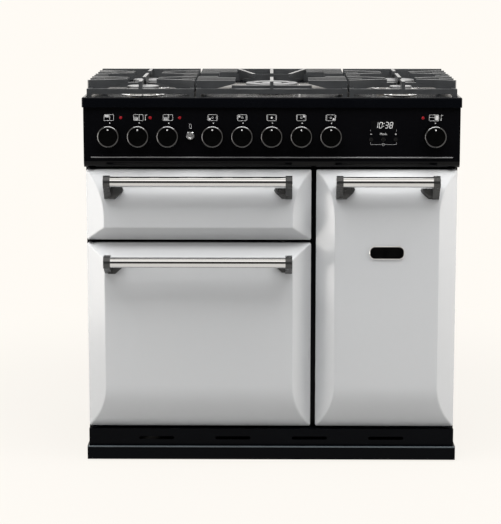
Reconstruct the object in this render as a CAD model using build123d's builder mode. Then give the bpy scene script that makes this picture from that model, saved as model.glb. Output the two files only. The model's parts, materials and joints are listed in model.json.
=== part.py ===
"""Dual fuel range cooker, 90 cm wide: grill, wide oven, tall oven and five gas burners.

Millimetres. X runs to the right, Y to the back, Z up. The floor is Z = 0 and Y = 0 is half way
between the front of the handle bars and the back of the hob tray.
"""

import os
from math import asin, cos, hypot, sin

from build123d import *

os.makedirs("parts", exist_ok=True)

# Overall size
WIDTH = 900.0
BODY_DEPTH = 605.0
HOB_TOP = 884.0

# Fits and sheet
SHEET = 2.0
WALL = 2.0
RUN_FIT = 0.05
CLEAR = 0.5
OVER = 5.0

# Levels above the floor
PLINTH_TOP = 36.0
BASE_TOP = 77.0
DOOR_LOW = 82.0
MID_GAP = 7.5
GRILL_DOOR_H = 169.5
TOP_GAP = 5.5
FACIA_H = 168.0
HOB_SKIRT = 24.0

# Doors
SIDE_INSET = 7.0
SPLIT_X = 101.0
SPLIT_GAP = 12.0
DOOR_RISE = 38.0
DOOR_RIM = 12.0
SIDE_BEVEL = 44.0
SLOPE = 34.0
ROLL = 108.0
DOOR_CORNER = 6.0
CORNER_OVER = 0.3
RIDGE = 5.0
SEAL_DEPTH = 12.0

# Door hinges
PIVOT_IN = 14.0
BOSS = 6.0
BOSS_DROP = 12.0
BOSS_LENGTH = 20.0
PIN_R = 3.0
HINGE_PLATE = 2.5
HINGE_HALF = 10.0

# Handles
BAR_R = 12.5
STANDOFF = 43.0
FOOT_DROP = 53.0
BAR_RISE = 18.0
BAR_LENGTH_WIDE = 446.0
BAR_LENGTH_TALL = 244.0
COLLAR = 16.0
COLLAR_R = 15.0
SOCKET = 12.0
FOOT_HALF = 15.0
LOBE = 29.0
LOBE_T = 11.0
LOBE_TOP = 14.0
LOBE_TIP = 7.0
LOBE_HEEL = 9.0
LOBE_TAPER = 16.0
SCREW_R = 4.0

# Control panel
FACIA_IN = 3.0
FACIA_BACK = 6.0
FACIA_WALL = 3.0
FACIA_LIP = 16.0
CONTROL_DROP = 91.0
KNOB_SHARE = 0.7 / 9
KNOB_IN = 64.0
KNOB_R = 25.0
KNOB_SKIRT_R = 26.5
KNOB_SKIRT = 4.0
KNOB_FRONT = 36.0
KNOB_GAP = 4.5
KNOB_FACE_R = 22.0
KNOB_DISH = 0.8
KNOB_EDGE = 1.5
HUB_R = 8.0
SHAFT_R = 3.0
SPINDLE_R = 4.0
PUSH = 3.0
LAMP_R = 3.6
LAMP_IN = 28.0
LAMP_RISE = 42.0
LAMP_OUT = 1.2
LIGHT_R = 10.0
LIGHT_OUT = 6.0
CLOCK_SHIFT = 2.0
CLOCK_RISE = 25.0
CLOCK_W = 59.0
CLOCK_H = 22.0
CLOCK_BUTTON_DROP = 9.0
CLOCK_BUTTON_PITCH = 29.0
CLOCK_BUTTON_R = 4.5
CLOCK_BUTTON_OUT = 1.8
CLOCK_PUSH = 1.0
CLOCK_RIM = 10.0
CLOCK_DEPTH = 24.0
SWITCH = 40.0
SWITCH_DEPTH = 28.0

# Gas rail, taps and inlet
TAP_W = 24.0
TAP_H = 46.0
RAIL_R = 7.0
RAIL_DROP = 22.0
RAIL_OVER = 30.0
SUPPLY_X = 200.0
INLET_R = 10.48

# Hob
HOB_LIP = 19.0
HOB_RIM = 8.0
HOB_WELL = 6.0
RIM_ROUND = 4.0
HOB_CORNER = 5.0
BURNER_FRONT_Y = -112.0
BURNER_REAR_Y = 100.0
WOK_Y = -6.0
HEAD_LARGE = 49.0
HEAD_MEDIUM = 39.0
HEAD_SMALL = 27.0
HEAD_WOK = 64.0
WOK_SLOT = 22.0
WOK_CORE = 25.0
CUP_EXTRA = 13.0
CUP_T = 3.0
HEAD_H = 9.0
RING_IN = 3.0
RING_H = 5.0
CAP_H = 6.0
CAP_ROUND = 2.0
THROAT_IN = 8.0
THROAT_DROP = 26.0
FLUE_COUNT = 9
FLUE_PITCH = 90.0
FLUE_L = 64.0
FLUE_W = 9.0
FLUE_IN = 38.0

# Pan supports
PAN_RISE = 35.0
GRATE_MID_SHARE = 0.4
GRATE_MARGIN = 9.0
GRATE_GAP = 5.0
GRATE_FRONT = 38.0
GRATE_DEPTH = 448.0
GRATE_BAR = 11.0
GRATE_BAR_H = 12.0
GRATE_FOOT_H = 11.0
BLADE = 8.0
BLADE_TIP = 8.0
TIP_R = 36.0
FINGER_SPLAY = 62.0
TIP_SPLAY = 24.0
TOOTH_L = 34.0
SLAT_L = 92.0
SLAT_PITCH = 42.0
SLAT_COUNT = 4
SLAT_FIRST = 36.0
SLAT_SHORT = 48.0
WOK_TIP = 62.0
CROSS_RISE = 6.0
WOK_ANGLE = 0.8

# Cavities
MOUTH_SIDE = 50.0
MOUTH_LOW = 54.0
GRILL_MOUTH_LOW = 36.0
GRILL_MOUTH_TOP = 40.0
CAVITY_DEPTH = 402.0
FLANGE = 10.0
SEAL_W = 9.0
SEAL_IN = 7.0

# Shelves and grill
LADDER_T = 3.0
RUNNER = 11.0
LADDER_BAR = 6.0
RUNNER_H = 4.0
LADDER_MARGIN = 36.0
SHELF_H = 4.0
SHELF_WIRE = 4.0
SHELF_COUNT = 9
SHELF_PLAY = 3.0
SHELF_FRONT = 22.0
MAIN_SHELF_COUNT = 2
TALL_SHELF_COUNT = 3
PAN_DEEP = 26.0
PAN_IN = 22.0
PAN_LONG = 300.0
PAN_FRONT = 30.0
PAN_FLANGE = 14.0
GRILL_RAIL_Z = 38.0
ELEMENT_R = 3.5
ELEMENT_RUN_COUNT = 6
ELEMENT_PITCH = 58.0
ELEMENT_FRONT = 60.0
ELEMENT_DROP = 16.0

# Fans
FAN_R = 62.0
FAN_DISC = 2.0
FAN_BLADE_COUNT = 10
FAN_BLADE_L = 24.0
FAN_BLADE_H = 18.0
FAN_GAP = 6.0
FAN_HUB_R = 10.0
FAN_SHAFT_R = 4.0
COVER_DEPTH = 40.0
COVER_IN = 20.0
COVER_HALF = 140.0
COVER_HOLE_R = 34.0
COVER_SLOT = 60.0
COVER_SLOT_W = 10.0
MOTOR_R = 36.0
MOTOR_L = 52.0

# Base and back
VENT_BACK = 25.0
PLINTH_OUT = 10.0
PLINTH_LIFT = 3.0
PLINTH_RETURN = 60.0
VENT_PITCH = 186.0
VENT_COUNT = 4
VENT_L = 85.0
VENT_W = 8.0
VENT_Z = 54.0
FOOT_R = 20.0
FOOT_H = 8.0
STEM_R = 6.0
FOOT_IN = 60.0
BACK_IN = 20.0
LOUVRE_L = 110.0
LOUVRE_W = 7.0
LOUVRE_ROW_COUNT = 5
LOUVRE_COLUMN_COUNT = 3
LOUVRE_PITCH = 18.0
LOUVRE_DROP = 264.0
CABLE_X = -330.0
CABLE_Z = 95.0
CABLE_R = 12.5

# Planes front to back
HANDLE_REACH = STANDOFF + COLLAR_R
Y_BACK = (BODY_DEPTH + HANDLE_REACH) / 2
Y_FACE = Y_BACK - BODY_DEPTH
Y_EDGE = Y_FACE + DOOR_RISE
Y_DOOR_BACK = Y_EDGE + DOOR_RIM
Y_FRAME = Y_DOOR_BACK + SEAL_DEPTH
Y_BODY = Y_FRAME + SHEET
Y_HOB = Y_FACE + HOB_LIP
Y_FACIA = Y_HOB + FACIA_BACK
Y_CAVITY = Y_BODY + CAVITY_DEPTH
Y_PANEL = Y_BACK - BACK_IN
Y_VENT = Y_FACE + VENT_BACK
SLOPE_RATE = DOOR_RISE / SIDE_BEVEL
Y_PIVOT = Y_EDGE + WALL - (PIVOT_IN - BOSS - WALL) * SLOPE_RATE + BOSS + CLEAR

# Edges left to right and up
HALF = WIDTH / 2
DOOR_X = HALF - SIDE_INSET
LEFT_EDGE = SPLIT_X - SPLIT_GAP / 2
TALL_EDGE = SPLIT_X + SPLIT_GAP / 2
FACIA_LOW = HOB_TOP - FACIA_H
DOOR_TOP = FACIA_LOW - TOP_GAP
GRILL_LOW = DOOR_TOP - GRILL_DOOR_H
MAIN_TOP = GRILL_LOW - MID_GAP
FACIA_TOP = HOB_TOP - HOB_SKIRT
TRAY_TOP = HOB_TOP - HOB_WELL
TRAY_LOW = TRAY_TOP - SHEET
PAN_TOP = HOB_TOP + PAN_RISE
GRATE_MID_W = GRATE_MID_SHARE * WIDTH
GRATE_SIDE_W = HALF - GRATE_MID_W / 2 - GRATE_GAP - GRATE_MARGIN
BURNER_X = GRATE_MID_W / 2 + GRATE_GAP + GRATE_SIDE_W / 2
ROLL_R = (ROLL**2 + DOOR_RISE**2) / (2 * DOOR_RISE)
KNOB_PITCH = KNOB_SHARE * WIDTH
OVEN_KNOB_X = HALF - KNOB_IN
HOB_KNOB_X = [KNOB_PITCH * step for step in range(-2, 3)]
LEFT_KNOB_X = [KNOB_PITCH * step - OVEN_KNOB_X for step in range(3)]
LIGHT_X = (LEFT_KNOB_X[-1] + HOB_KNOB_X[0]) / 2
CLOCK_X = (HOB_KNOB_X[-1] + OVEN_KNOB_X) / 2 + CLOCK_SHIFT
CONTROL_Z = HOB_TOP - CONTROL_DROP
LAMP_Z = CONTROL_Z + LAMP_RISE
CLOCK_Z = CONTROL_Z + CLOCK_RISE
CLOCK_BUTTON_Z = CONTROL_Z - CLOCK_BUTTON_DROP
LOUVRE_Z = HOB_TOP - LOUVRE_DROP
FACIA_BEHIND = Y_FACIA + FACIA_WALL
TAP_FRONT = Y_FRAME - SWITCH_DEPTH


def save(part, name):
    """Label one sub-part and write its file."""
    part.label = name
    export_step(part, f"parts/{name}.step")


def block(x0, x1, y0, y1, z0, z1, mode=Mode.ADD):
    """Box between two corners."""
    with Locations(((x0 + x1) / 2, (y0 + y1) / 2, (z0 + z1) / 2)):
        Box(x1 - x0, y1 - y0, z1 - z0, mode=mode)


def rod_x(x0, x1, y, z, radius, mode=Mode.ADD):
    """Round bar along X."""
    with Locations(Location(((x0 + x1) / 2, y, z), (0, 90, 0))):
        Cylinder(radius, x1 - x0, mode=mode)


def rod_y(x, y0, y1, z, radius, mode=Mode.ADD):
    """Round bar along Y."""
    with Locations(Location((x, (y0 + y1) / 2, z), (90, 0, 0))):
        Cylinder(radius, y1 - y0, mode=mode)


def rod_z(x, y, z0, z1, radius, mode=Mode.ADD):
    """Round bar along Z."""
    with Locations((x, y, (z0 + z1) / 2)):
        Cylinder(radius, z1 - z0, mode=mode)


def roll_end(face, edge_z, way):
    """Arc of a door's rolled end, from the flat face to the edge at edge_z."""
    start = edge_z - way * ROLL
    turn = asin(ROLL / ROLL_R) / 2
    middle = (face + ROLL_R * (1 - cos(turn)), start + way * ROLL_R * sin(turn))
    ThreePointArc((face, start), middle, (face + DOOR_RISE, edge_z))


def door_form(x0, x1, z0, z1, wall, top_roll, low_roll):
    """Raised door form; with a wall it is the hollow behind the skin."""
    left, right = x0 + wall, x1 - wall
    low, top = z0 + wall, z1 - wall
    face, edge = Y_FACE + wall, Y_EDGE + wall
    back = Y_DOOR_BACK + (OVER if wall else 0)
    top_length = ROLL if top_roll else SLOPE
    low_length = ROLL if low_roll else SLOPE
    with BuildPart() as form:
        with BuildSketch(Plane.YZ.offset(left)):
            with BuildLine():
                Polyline((edge, low), (back, low), (back, top), (edge, top))
                if top_roll:
                    roll_end(face, top, 1)
                else:
                    Line((edge, top), (face, top - top_length))
                Line((face, top - top_length), (face, low + low_length))
                if low_roll:
                    roll_end(face, low, -1)
                else:
                    Line((face, low + low_length), (edge, low))
            make_face()
        extrude(amount=right - left)
        reach = SIDE_BEVEL + OVER / SLOPE_RATE
        with BuildSketch(Plane.XY.offset(low - OVER)):
            with BuildLine():
                Polyline(
                    (left, back + OVER),
                    (left, edge),
                    (left + reach, face - OVER),
                    (right - reach, face - OVER),
                    (right, edge),
                    (right, back + OVER),
                    close=True,
                )
            make_face()
        extrude(amount=top - low + 2 * OVER, mode=Mode.INTERSECT)
        with BuildSketch(Plane.XZ.offset(-back - OVER)):
            with Locations(((left + right) / 2, (low + top) / 2)):
                tall, wide = top - low + 2 * CORNER_OVER, right - left + 2 * CORNER_OVER
                RectangleRounded(wide, tall, DOOR_CORNER - wall)
        extrude(amount=back - face + 2 * OVER, mode=Mode.INTERSECT)
        if not wall:
            front = form.faces().sort_by(Axis.Y)[0]
            fillet(front.edges().filter_by(Axis.Z), RIDGE)
            flat_ends = [end for end, rolled in ((-1, top_roll), (0, low_roll)) if not rolled]
            for end in flat_ends:
                front = form.faces().sort_by(Axis.Y)[0]
                fillet(front.edges().filter_by(Axis.X).sort_by(Axis.Z)[end], RIDGE)
    return form.part


def handle_place(top_z, rolled):
    """Plane on the door face under the handle: X along the bar, Y up the face, Z outwards."""
    z = top_z - FOOT_DROP
    if not rolled:
        return Plane((0, Y_FACE, z), x_dir=(1, 0, 0), z_dir=(0, -1, 0))
    tilt = asin((ROLL - FOOT_DROP) / ROLL_R)
    y = Y_FACE + ROLL_R * (1 - cos(tilt))
    return Plane((0, y, z), x_dir=(1, 0, 0), z_dir=(0, -cos(tilt), sin(tilt)))


def make_door(name, x0, x1, z0, z1, pivot_x, top_roll, low_roll, bar_length):
    """Skin, inner panel, handle bar and handle brackets of one door."""
    outside = door_form(x0, x1, z0, z1, 0, top_roll, low_roll)
    hollow = door_form(x0, x1, z0, z1, WALL, top_roll, low_roll)
    place = handle_place(z1, top_roll)
    mid = (x0 + x1) / 2
    with BuildPart() as skin:
        add(outside)
        add(hollow, mode=Mode.SUBTRACT)
        rod_z(pivot_x, Y_PIVOT, z0 - OVER, z1 + OVER, PIN_R + CLEAR, mode=Mode.SUBTRACT)
    save(skin.part, f"{name}_door_skin")

    with BuildPart() as liner:
        with BuildSketch(Plane.XZ.offset(-Y_DOOR_BACK)):
            with Locations((mid, (z0 + z1) / 2)):
                RectangleRounded(x1 - x0 - 2 * WALL, z1 - z0 - 2 * WALL, DOOR_CORNER - WALL)
        extrude(amount=SHEET)
        for start in (z0 + WALL + BOSS_DROP, z1 - WALL - BOSS_DROP - BOSS_LENGTH):
            end = start + BOSS_LENGTH
            block(pivot_x - BOSS, pivot_x + BOSS, Y_PIVOT - BOSS, Y_DOOR_BACK, start, end)
            rod_z(pivot_x, Y_PIVOT, start, end, PIN_R + RUN_FIT, mode=Mode.SUBTRACT)
    save(liner.part, f"{name}_door_liner")

    bar_plane = place.offset(STANDOFF)
    with BuildPart() as bar:
        with Locations(bar_plane.location):
            with Locations(Location((mid, BAR_RISE, 0), (0, 90, 0))):
                Cylinder(BAR_R, bar_length - 2 * (COLLAR - SOCKET))
    save(bar.part, f"{name}_door_handle_bar")

    with BuildPart() as brackets:
        for side in (-1, 1):
            end = mid + side * bar_length / 2
            inner = end - side * COLLAR
            with Locations(bar_plane.location):
                with Locations(Location(((end + inner) / 2, BAR_RISE, 0), (0, 90, 0))):
                    Cylinder(COLLAR_R, COLLAR)
            cheek = place.from_local_coords((max(end, inner), 0, 0))
            with BuildSketch(Plane(cheek, x_dir=place.z_dir, z_dir=(-1, 0, 0))):
                with BuildLine():
                    Polyline(
                        (-OVER, FOOT_HALF),
                        (-OVER, -FOOT_HALF),
                        (OVER, -FOOT_HALF),
                        (STANDOFF, BAR_RISE - COLLAR_R),
                        (STANDOFF, BAR_RISE + COLLAR_R),
                        (STANDOFF - COLLAR_R, BAR_RISE + COLLAR_R),
                        close=True,
                    )
                make_face()
            extrude(amount=COLLAR)
            with BuildSketch(place.offset(-OVER)) as lobe:
                with BuildLine():
                    Polyline(
                        (inner + side * COLLAR / 2, LOBE_TOP),
                        (inner - side * (LOBE - LOBE_TIP / 2), LOBE_TOP),
                        (inner - side * LOBE, LOBE_TOP - LOBE_TIP),
                        (inner - side * (LOBE - LOBE_TIP / 2), LOBE_TOP - 2 * LOBE_TIP),
                        (inner - side * LOBE_HEEL, -FOOT_HALF),
                        (inner + side * COLLAR / 2, -FOOT_HALF),
                        close=True,
                    )
                make_face()
            extrude(lobe.sketch, amount=OVER + LOBE_T, taper=LOBE_TAPER)
            with Locations(place.location):
                with Locations((inner - side * LOBE / 2, LOBE_TOP - LOBE_TIP, LOBE_T)):
                    Cylinder(SCREW_R, LOBE_T, mode=Mode.SUBTRACT)
        add(outside, mode=Mode.SUBTRACT)
        with Locations(bar_plane.location):
            with Locations(Location((mid, BAR_RISE, 0), (0, 90, 0))):
                Cylinder(BAR_R, bar_length - 2 * (COLLAR - SOCKET), mode=Mode.SUBTRACT)
    save(brackets.part, f"{name}_door_handle_brackets")


# Doors
LEFT_PIVOT = -DOOR_X + PIVOT_IN
RIGHT_PIVOT = DOOR_X - PIVOT_IN
make_door("grill", -DOOR_X, LEFT_EDGE, GRILL_LOW, DOOR_TOP, LEFT_PIVOT, True, False, BAR_LENGTH_WIDE)
make_door("main_oven", -DOOR_X, LEFT_EDGE, DOOR_LOW, MAIN_TOP, LEFT_PIVOT, False, True, BAR_LENGTH_WIDE)
make_door("tall_oven", TALL_EDGE, DOOR_X, DOOR_LOW, DOOR_TOP, RIGHT_PIVOT, True, True, BAR_LENGTH_TALL)


# Hinge brackets: thin plates in the gaps round the doors, each with its pins
with BuildPart() as hinge_brackets:
    pin_reach = WALL + BOSS_DROP + BOSS_LENGTH
    gap_low = (BASE_TOP + DOOR_LOW) / 2
    gap_mid = (MAIN_TOP + GRILL_LOW) / 2
    gap_top = (DOOR_TOP + FACIA_LOW) / 2
    hinges = [
        (LEFT_PIVOT, gap_low, None, DOOR_LOW),
        (LEFT_PIVOT, gap_mid, MAIN_TOP, GRILL_LOW),
        (LEFT_PIVOT, gap_top, DOOR_TOP, None),
        (RIGHT_PIVOT, gap_low, None, DOOR_LOW),
        (RIGHT_PIVOT, gap_top, DOOR_TOP, None),
    ]
    for x, z, under, above in hinges:
        low, top = z - HINGE_PLATE / 2, z + HINGE_PLATE / 2
        block(x - HINGE_HALF, x + HINGE_HALF, Y_PIVOT, Y_FRAME, low, top)
        rod_z(x, Y_PIVOT, low, top, HINGE_HALF)
        if under:
            rod_z(x, Y_PIVOT, under - pin_reach, top, PIN_R)
        if above:
            rod_z(x, Y_PIVOT, low, above + pin_reach, PIN_R)
save(hinge_brackets.part, "hinge_brackets")

# Mouths of the three cavities: left, right, low and top
LEFT_MOUTH = (-DOOR_X + MOUTH_SIDE, LEFT_EDGE - MOUTH_SIDE)
TALL_MOUTH = (TALL_EDGE + MOUTH_SIDE, DOOR_X - MOUTH_SIDE)
MAIN_MOUTH = (*LEFT_MOUTH, DOOR_LOW + MOUTH_LOW, MAIN_TOP - MOUTH_LOW)
GRILL_MOUTH = (*LEFT_MOUTH, GRILL_LOW + GRILL_MOUTH_LOW, DOOR_TOP - GRILL_MOUTH_TOP)
TALL_OVEN_MOUTH = (*TALL_MOUTH, DOOR_LOW + MOUTH_LOW, DOOR_TOP - MOUTH_LOW)

# Front frame: the face plate that carries the cavities, the hinges and the controls
with BuildPart() as front_frame:
    block(-DOOR_X, DOOR_X, Y_FRAME, Y_BODY, BASE_TOP, TRAY_LOW)
    for x0, x1, z0, z1 in (MAIN_MOUTH, GRILL_MOUTH, TALL_OVEN_MOUTH):
        block(x0, x1, Y_FRAME - OVER, Y_BODY + OVER, z0, z1, mode=Mode.SUBTRACT)
    supply = (SUPPLY_X, Y_FRAME - OVER, Y_BODY + OVER, CONTROL_Z - RAIL_DROP)
    rod_y(*supply, RAIL_R + CLEAR, mode=Mode.SUBTRACT)
save(front_frame.part, "front_frame")


def make_cavity(name, mouth, fan_z):
    """Open box of one cavity with a flange that lies on the back of the front frame."""
    x0, x1, z0, z1 = mouth
    with BuildPart() as cavity:
        block(x0 - SHEET, x1 + SHEET, Y_BODY, Y_CAVITY + SHEET, z0 - SHEET, z1 + SHEET)
        block(x0 - FLANGE, x1 + FLANGE, Y_BODY, Y_BODY + SHEET, z0 - FLANGE, z1 + FLANGE)
        block(x0, x1, Y_BODY - OVER, Y_CAVITY, z0, z1, mode=Mode.SUBTRACT)
        if fan_z:
            shaft = ((x0 + x1) / 2, Y_CAVITY - OVER, Y_CAVITY + SHEET + OVER, fan_z)
            rod_y(*shaft, FAN_SHAFT_R + CLEAR, mode=Mode.SUBTRACT)
    save(cavity.part, name)


# Cavities
MAIN_FAN_Z = (MAIN_MOUTH[2] + MAIN_MOUTH[3]) / 2
TALL_FAN_Z = (TALL_OVEN_MOUTH[2] + TALL_OVEN_MOUTH[3]) / 2
make_cavity("main_oven_cavity", MAIN_MOUTH, MAIN_FAN_Z)
make_cavity("tall_oven_cavity", TALL_OVEN_MOUTH, TALL_FAN_Z)
make_cavity("grill_cavity", GRILL_MOUTH, None)

# Door seals: a square-edged ring round each oven mouth, just clear of the shut door
with BuildPart() as door_seals:
    for x0, x1, z0, z1 in (MAIN_MOUTH, TALL_OVEN_MOUTH):
        grow = SEAL_IN + SEAL_W
        block(x0 - grow, x1 + grow, Y_DOOR_BACK + CLEAR, Y_FRAME, z0 - grow, z1 + grow)
        hole = (x0 - SEAL_IN, x1 + SEAL_IN, Y_DOOR_BACK, Y_BODY, z0 - SEAL_IN, z1 + SEAL_IN)
        block(*hole, mode=Mode.SUBTRACT)
save(door_seals.part, "door_seals")

# Side panels
with BuildPart() as side_panels:
    for side in (-1, 1):
        near, far = sorted((side * DOOR_X, side * (DOOR_X + SHEET)))
        block(near, far, Y_FRAME, Y_PANEL, PLINTH_TOP, TRAY_LOW)
save(side_panels.part, "side_panels")

# Back panel with air slots, the gas inlet hole and the cable entry
with BuildPart() as back_panel:
    block(-DOOR_X, DOOR_X, Y_PANEL - SHEET, Y_PANEL, PLINTH_TOP, TRAY_LOW)
    with BuildSketch(Plane.XZ.offset(-Y_PANEL)):
        with Locations((0, LOUVRE_Z)):
            with GridLocations(2 * LOUVRE_L, LOUVRE_PITCH, LOUVRE_COLUMN_COUNT, LOUVRE_ROW_COUNT):
                SlotOverall(LOUVRE_L, LOUVRE_W)
    extrude(amount=SHEET, mode=Mode.SUBTRACT)
    inlet_z = CONTROL_Z - RAIL_DROP
    rod_y(SUPPLY_X, Y_PANEL - SHEET, Y_PANEL, inlet_z, RAIL_R + CLEAR, mode=Mode.SUBTRACT)
    rod_y(CABLE_X, Y_PANEL - SHEET, Y_PANEL, CABLE_Z, CABLE_R, mode=Mode.SUBTRACT)
save(back_panel.part, "back_panel")

# Base tray, folded up at the front into the slotted vent panel
with BuildPart() as base_panel:
    with BuildSketch(Plane.YZ.offset(-DOOR_X)):
        with BuildLine():
            Polyline(
                (Y_PANEL - SHEET, PLINTH_TOP),
                (Y_VENT, PLINTH_TOP),
                (Y_VENT, BASE_TOP),
                (Y_BODY, BASE_TOP),
                (Y_BODY, BASE_TOP - SHEET),
                (Y_VENT + SHEET, BASE_TOP - SHEET),
                (Y_VENT + SHEET, PLINTH_TOP + SHEET),
                (Y_PANEL - SHEET, PLINTH_TOP + SHEET),
                close=True,
            )
        make_face()
    extrude(amount=2 * DOOR_X)
    with BuildSketch(Plane.XZ.offset(-Y_VENT - SHEET)):
        with Locations((0, VENT_Z)):
            with GridLocations(VENT_PITCH, 1, VENT_COUNT, 1):
                SlotOverall(VENT_L, VENT_W)
    extrude(amount=SHEET, mode=Mode.SUBTRACT)
save(base_panel.part, "base_panel")

# Plinth: a skirt with a ledge under the base tray and short returns at its ends
with BuildPart() as plinth:
    front = Y_VENT - PLINTH_OUT
    end = HALF - FACIA_IN
    block(-end, end, front, front + PLINTH_RETURN, PLINTH_LIFT, PLINTH_TOP)
    inside = (-end + SHEET, end - SHEET, front + SHEET, front + PLINTH_RETURN + OVER)
    block(*inside, 0, PLINTH_TOP - SHEET, mode=Mode.SUBTRACT)
save(plinth.part, "plinth")

# Levelling feet
with BuildPart() as levelling_feet:
    for x in (-DOOR_X + FOOT_IN, DOOR_X - FOOT_IN):
        for y in (Y_FRAME + FOOT_IN, Y_PANEL - FOOT_IN):
            rod_z(x, y, 0, FOOT_H, FOOT_R)
            rod_z(x, y, FOOT_H, PLINTH_TOP, STEM_R)
save(levelling_feet.part, "levelling_feet")

# Control panel: an open-backed box with the holes for every control
with BuildPart() as control_panel:
    end = HALF - FACIA_IN
    block(-end, end, Y_FACIA, Y_FRAME, FACIA_LOW, FACIA_TOP)
    lip = control_panel.edges().filter_by(Axis.X).group_by(Axis.Y)[0].sort_by(Axis.Z)[0]
    fillet(lip, FACIA_LIP)
    inside = (-end + FACIA_WALL, end - FACIA_WALL, FACIA_BEHIND, Y_FRAME + OVER)
    block(*inside, FACIA_LOW + FACIA_LIP, FACIA_TOP - FACIA_WALL, mode=Mode.SUBTRACT)
    for x in (*LEFT_KNOB_X, *HOB_KNOB_X, OVEN_KNOB_X):
        rod_y(x, Y_FACIA, FACIA_BEHIND, CONTROL_Z, HUB_R + CLEAR, mode=Mode.SUBTRACT)
    for x in (*(knob + LAMP_IN for knob in LEFT_KNOB_X), OVEN_KNOB_X - LAMP_IN):
        rod_y(x, Y_FACIA, FACIA_BEHIND, LAMP_Z, LAMP_R, mode=Mode.SUBTRACT)
    rod_y(LIGHT_X, Y_FACIA, FACIA_BEHIND, CONTROL_Z, LIGHT_R + CLEAR, mode=Mode.SUBTRACT)
    for step in (-1, 0, 1):
        x = CLOCK_X + step * CLOCK_BUTTON_PITCH
        button = (x, Y_FACIA, FACIA_BEHIND, CLOCK_BUTTON_Z)
        rod_y(*button, CLOCK_BUTTON_R + CLEAR, mode=Mode.SUBTRACT)
    window = (CLOCK_X - CLOCK_W / 2, CLOCK_X + CLOCK_W / 2, Y_FACIA, FACIA_BEHIND)
    block(*window, CLOCK_Z - CLOCK_H / 2, CLOCK_Z + CLOCK_H / 2, mode=Mode.SUBTRACT)
save(control_panel.part, "control_panel")

# Clock: window flush in the panel, with its case behind
with BuildPart() as clock_module:
    half_w = CLOCK_W / 2
    half_h = CLOCK_H / 2
    block(CLOCK_X - half_w, CLOCK_X + half_w, Y_FACIA, FACIA_BEHIND, CLOCK_Z - half_h, CLOCK_Z + half_h)
    case_low = CLOCK_BUTTON_Z - CLOCK_RIM
    case = (CLOCK_X - half_w - CLOCK_RIM, CLOCK_X + half_w + CLOCK_RIM)
    block(*case, FACIA_BEHIND, FACIA_BEHIND + CLOCK_DEPTH, case_low, CLOCK_Z + half_h + CLOCK_RIM)
    for step in (-1, 0, 1):
        x = CLOCK_X + step * CLOCK_BUTTON_PITCH
        pocket = (x, FACIA_BEHIND, FACIA_BEHIND + CLOCK_RIM, CLOCK_BUTTON_Z)
        rod_y(*pocket, CLOCK_BUTTON_R + CLEAR, mode=Mode.SUBTRACT)
save(clock_module.part, "clock_module")

for step, name in ((-1, "clock_minus_button"), (0, "clock_mode_button"), (1, "clock_plus_button")):
    with BuildPart() as clock_button:
        x = CLOCK_X + step * CLOCK_BUTTON_PITCH
        back = FACIA_BEHIND + CLOCK_RIM - CLOCK_PUSH - CLEAR
        rod_y(x, Y_FACIA - CLOCK_BUTTON_OUT, back, CLOCK_BUTTON_Z, CLOCK_BUTTON_R)
        fillet(clock_button.edges().group_by(Axis.Y)[0], CLEAR)
    save(clock_button.part, name)

# Red lamps beside the oven knobs
with BuildPart() as indicator_lamps:
    for x in (*(knob + LAMP_IN for knob in LEFT_KNOB_X), OVEN_KNOB_X - LAMP_IN):
        rod_y(x, Y_FACIA - LAMP_OUT, FACIA_BEHIND + LAMP_OUT, LAMP_Z, LAMP_R)
    fillet(indicator_lamps.edges().group_by(Axis.Y)[0], LAMP_OUT)
save(indicator_lamps.part, "indicator_lamps")

# Oven light button
with BuildPart() as light_button:
    rod_y(LIGHT_X, Y_FACIA - LIGHT_OUT, TAP_FRONT - PUSH - CLEAR, CONTROL_Z, LIGHT_R)
    fillet(light_button.edges().group_by(Axis.Y)[0], KNOB_EDGE)
save(light_button.part, "light_button")

# Oven switches behind the panel, with bores for the knob shafts
with BuildPart() as oven_switches:
    for x in (*LEFT_KNOB_X, LIGHT_X, OVEN_KNOB_X):
        half = SWITCH / 2 if x != LIGHT_X else LIGHT_R
        block(x - half, x + half, TAP_FRONT, Y_FRAME, CONTROL_Z - half, CONTROL_Z + half)
        if x != LIGHT_X:
            rod_y(x, TAP_FRONT, Y_FRAME - CLEAR, CONTROL_Z, SHAFT_R + RUN_FIT, mode=Mode.SUBTRACT)
save(oven_switches.part, "oven_switches")


def make_knob(name, x, shaft_r):
    """Round knob with a dished face, a skirt and a hub; gas knobs are bored for a spindle."""
    front = Y_FACIA - KNOB_FRONT
    back = Y_FACIA - KNOB_GAP
    with BuildPart() as knob:
        rod_y(x, front, back, CONTROL_Z, KNOB_R)
        fillet(knob.edges().group_by(Axis.Y)[0], KNOB_EDGE)
        rod_y(x, back - KNOB_SKIRT, back, CONTROL_Z, KNOB_SKIRT_R)
        rod_y(x, front, front + KNOB_DISH, CONTROL_Z, KNOB_FACE_R, mode=Mode.SUBTRACT)
        if shaft_r:
            rod_y(x, back, FACIA_BEHIND, CONTROL_Z, HUB_R)
            rod_y(x, FACIA_BEHIND, Y_FRAME - 2 * CLEAR, CONTROL_Z, shaft_r)
        else:
            hub_end = TAP_FRONT - PUSH - CLEAR
            rod_y(x, back, hub_end, CONTROL_Z, HUB_R)
            bore = (x, back - HUB_R, hub_end, CONTROL_Z)
            rod_y(*bore, SPINDLE_R + RUN_FIT, mode=Mode.SUBTRACT)
    save(knob.part, name)


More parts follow.
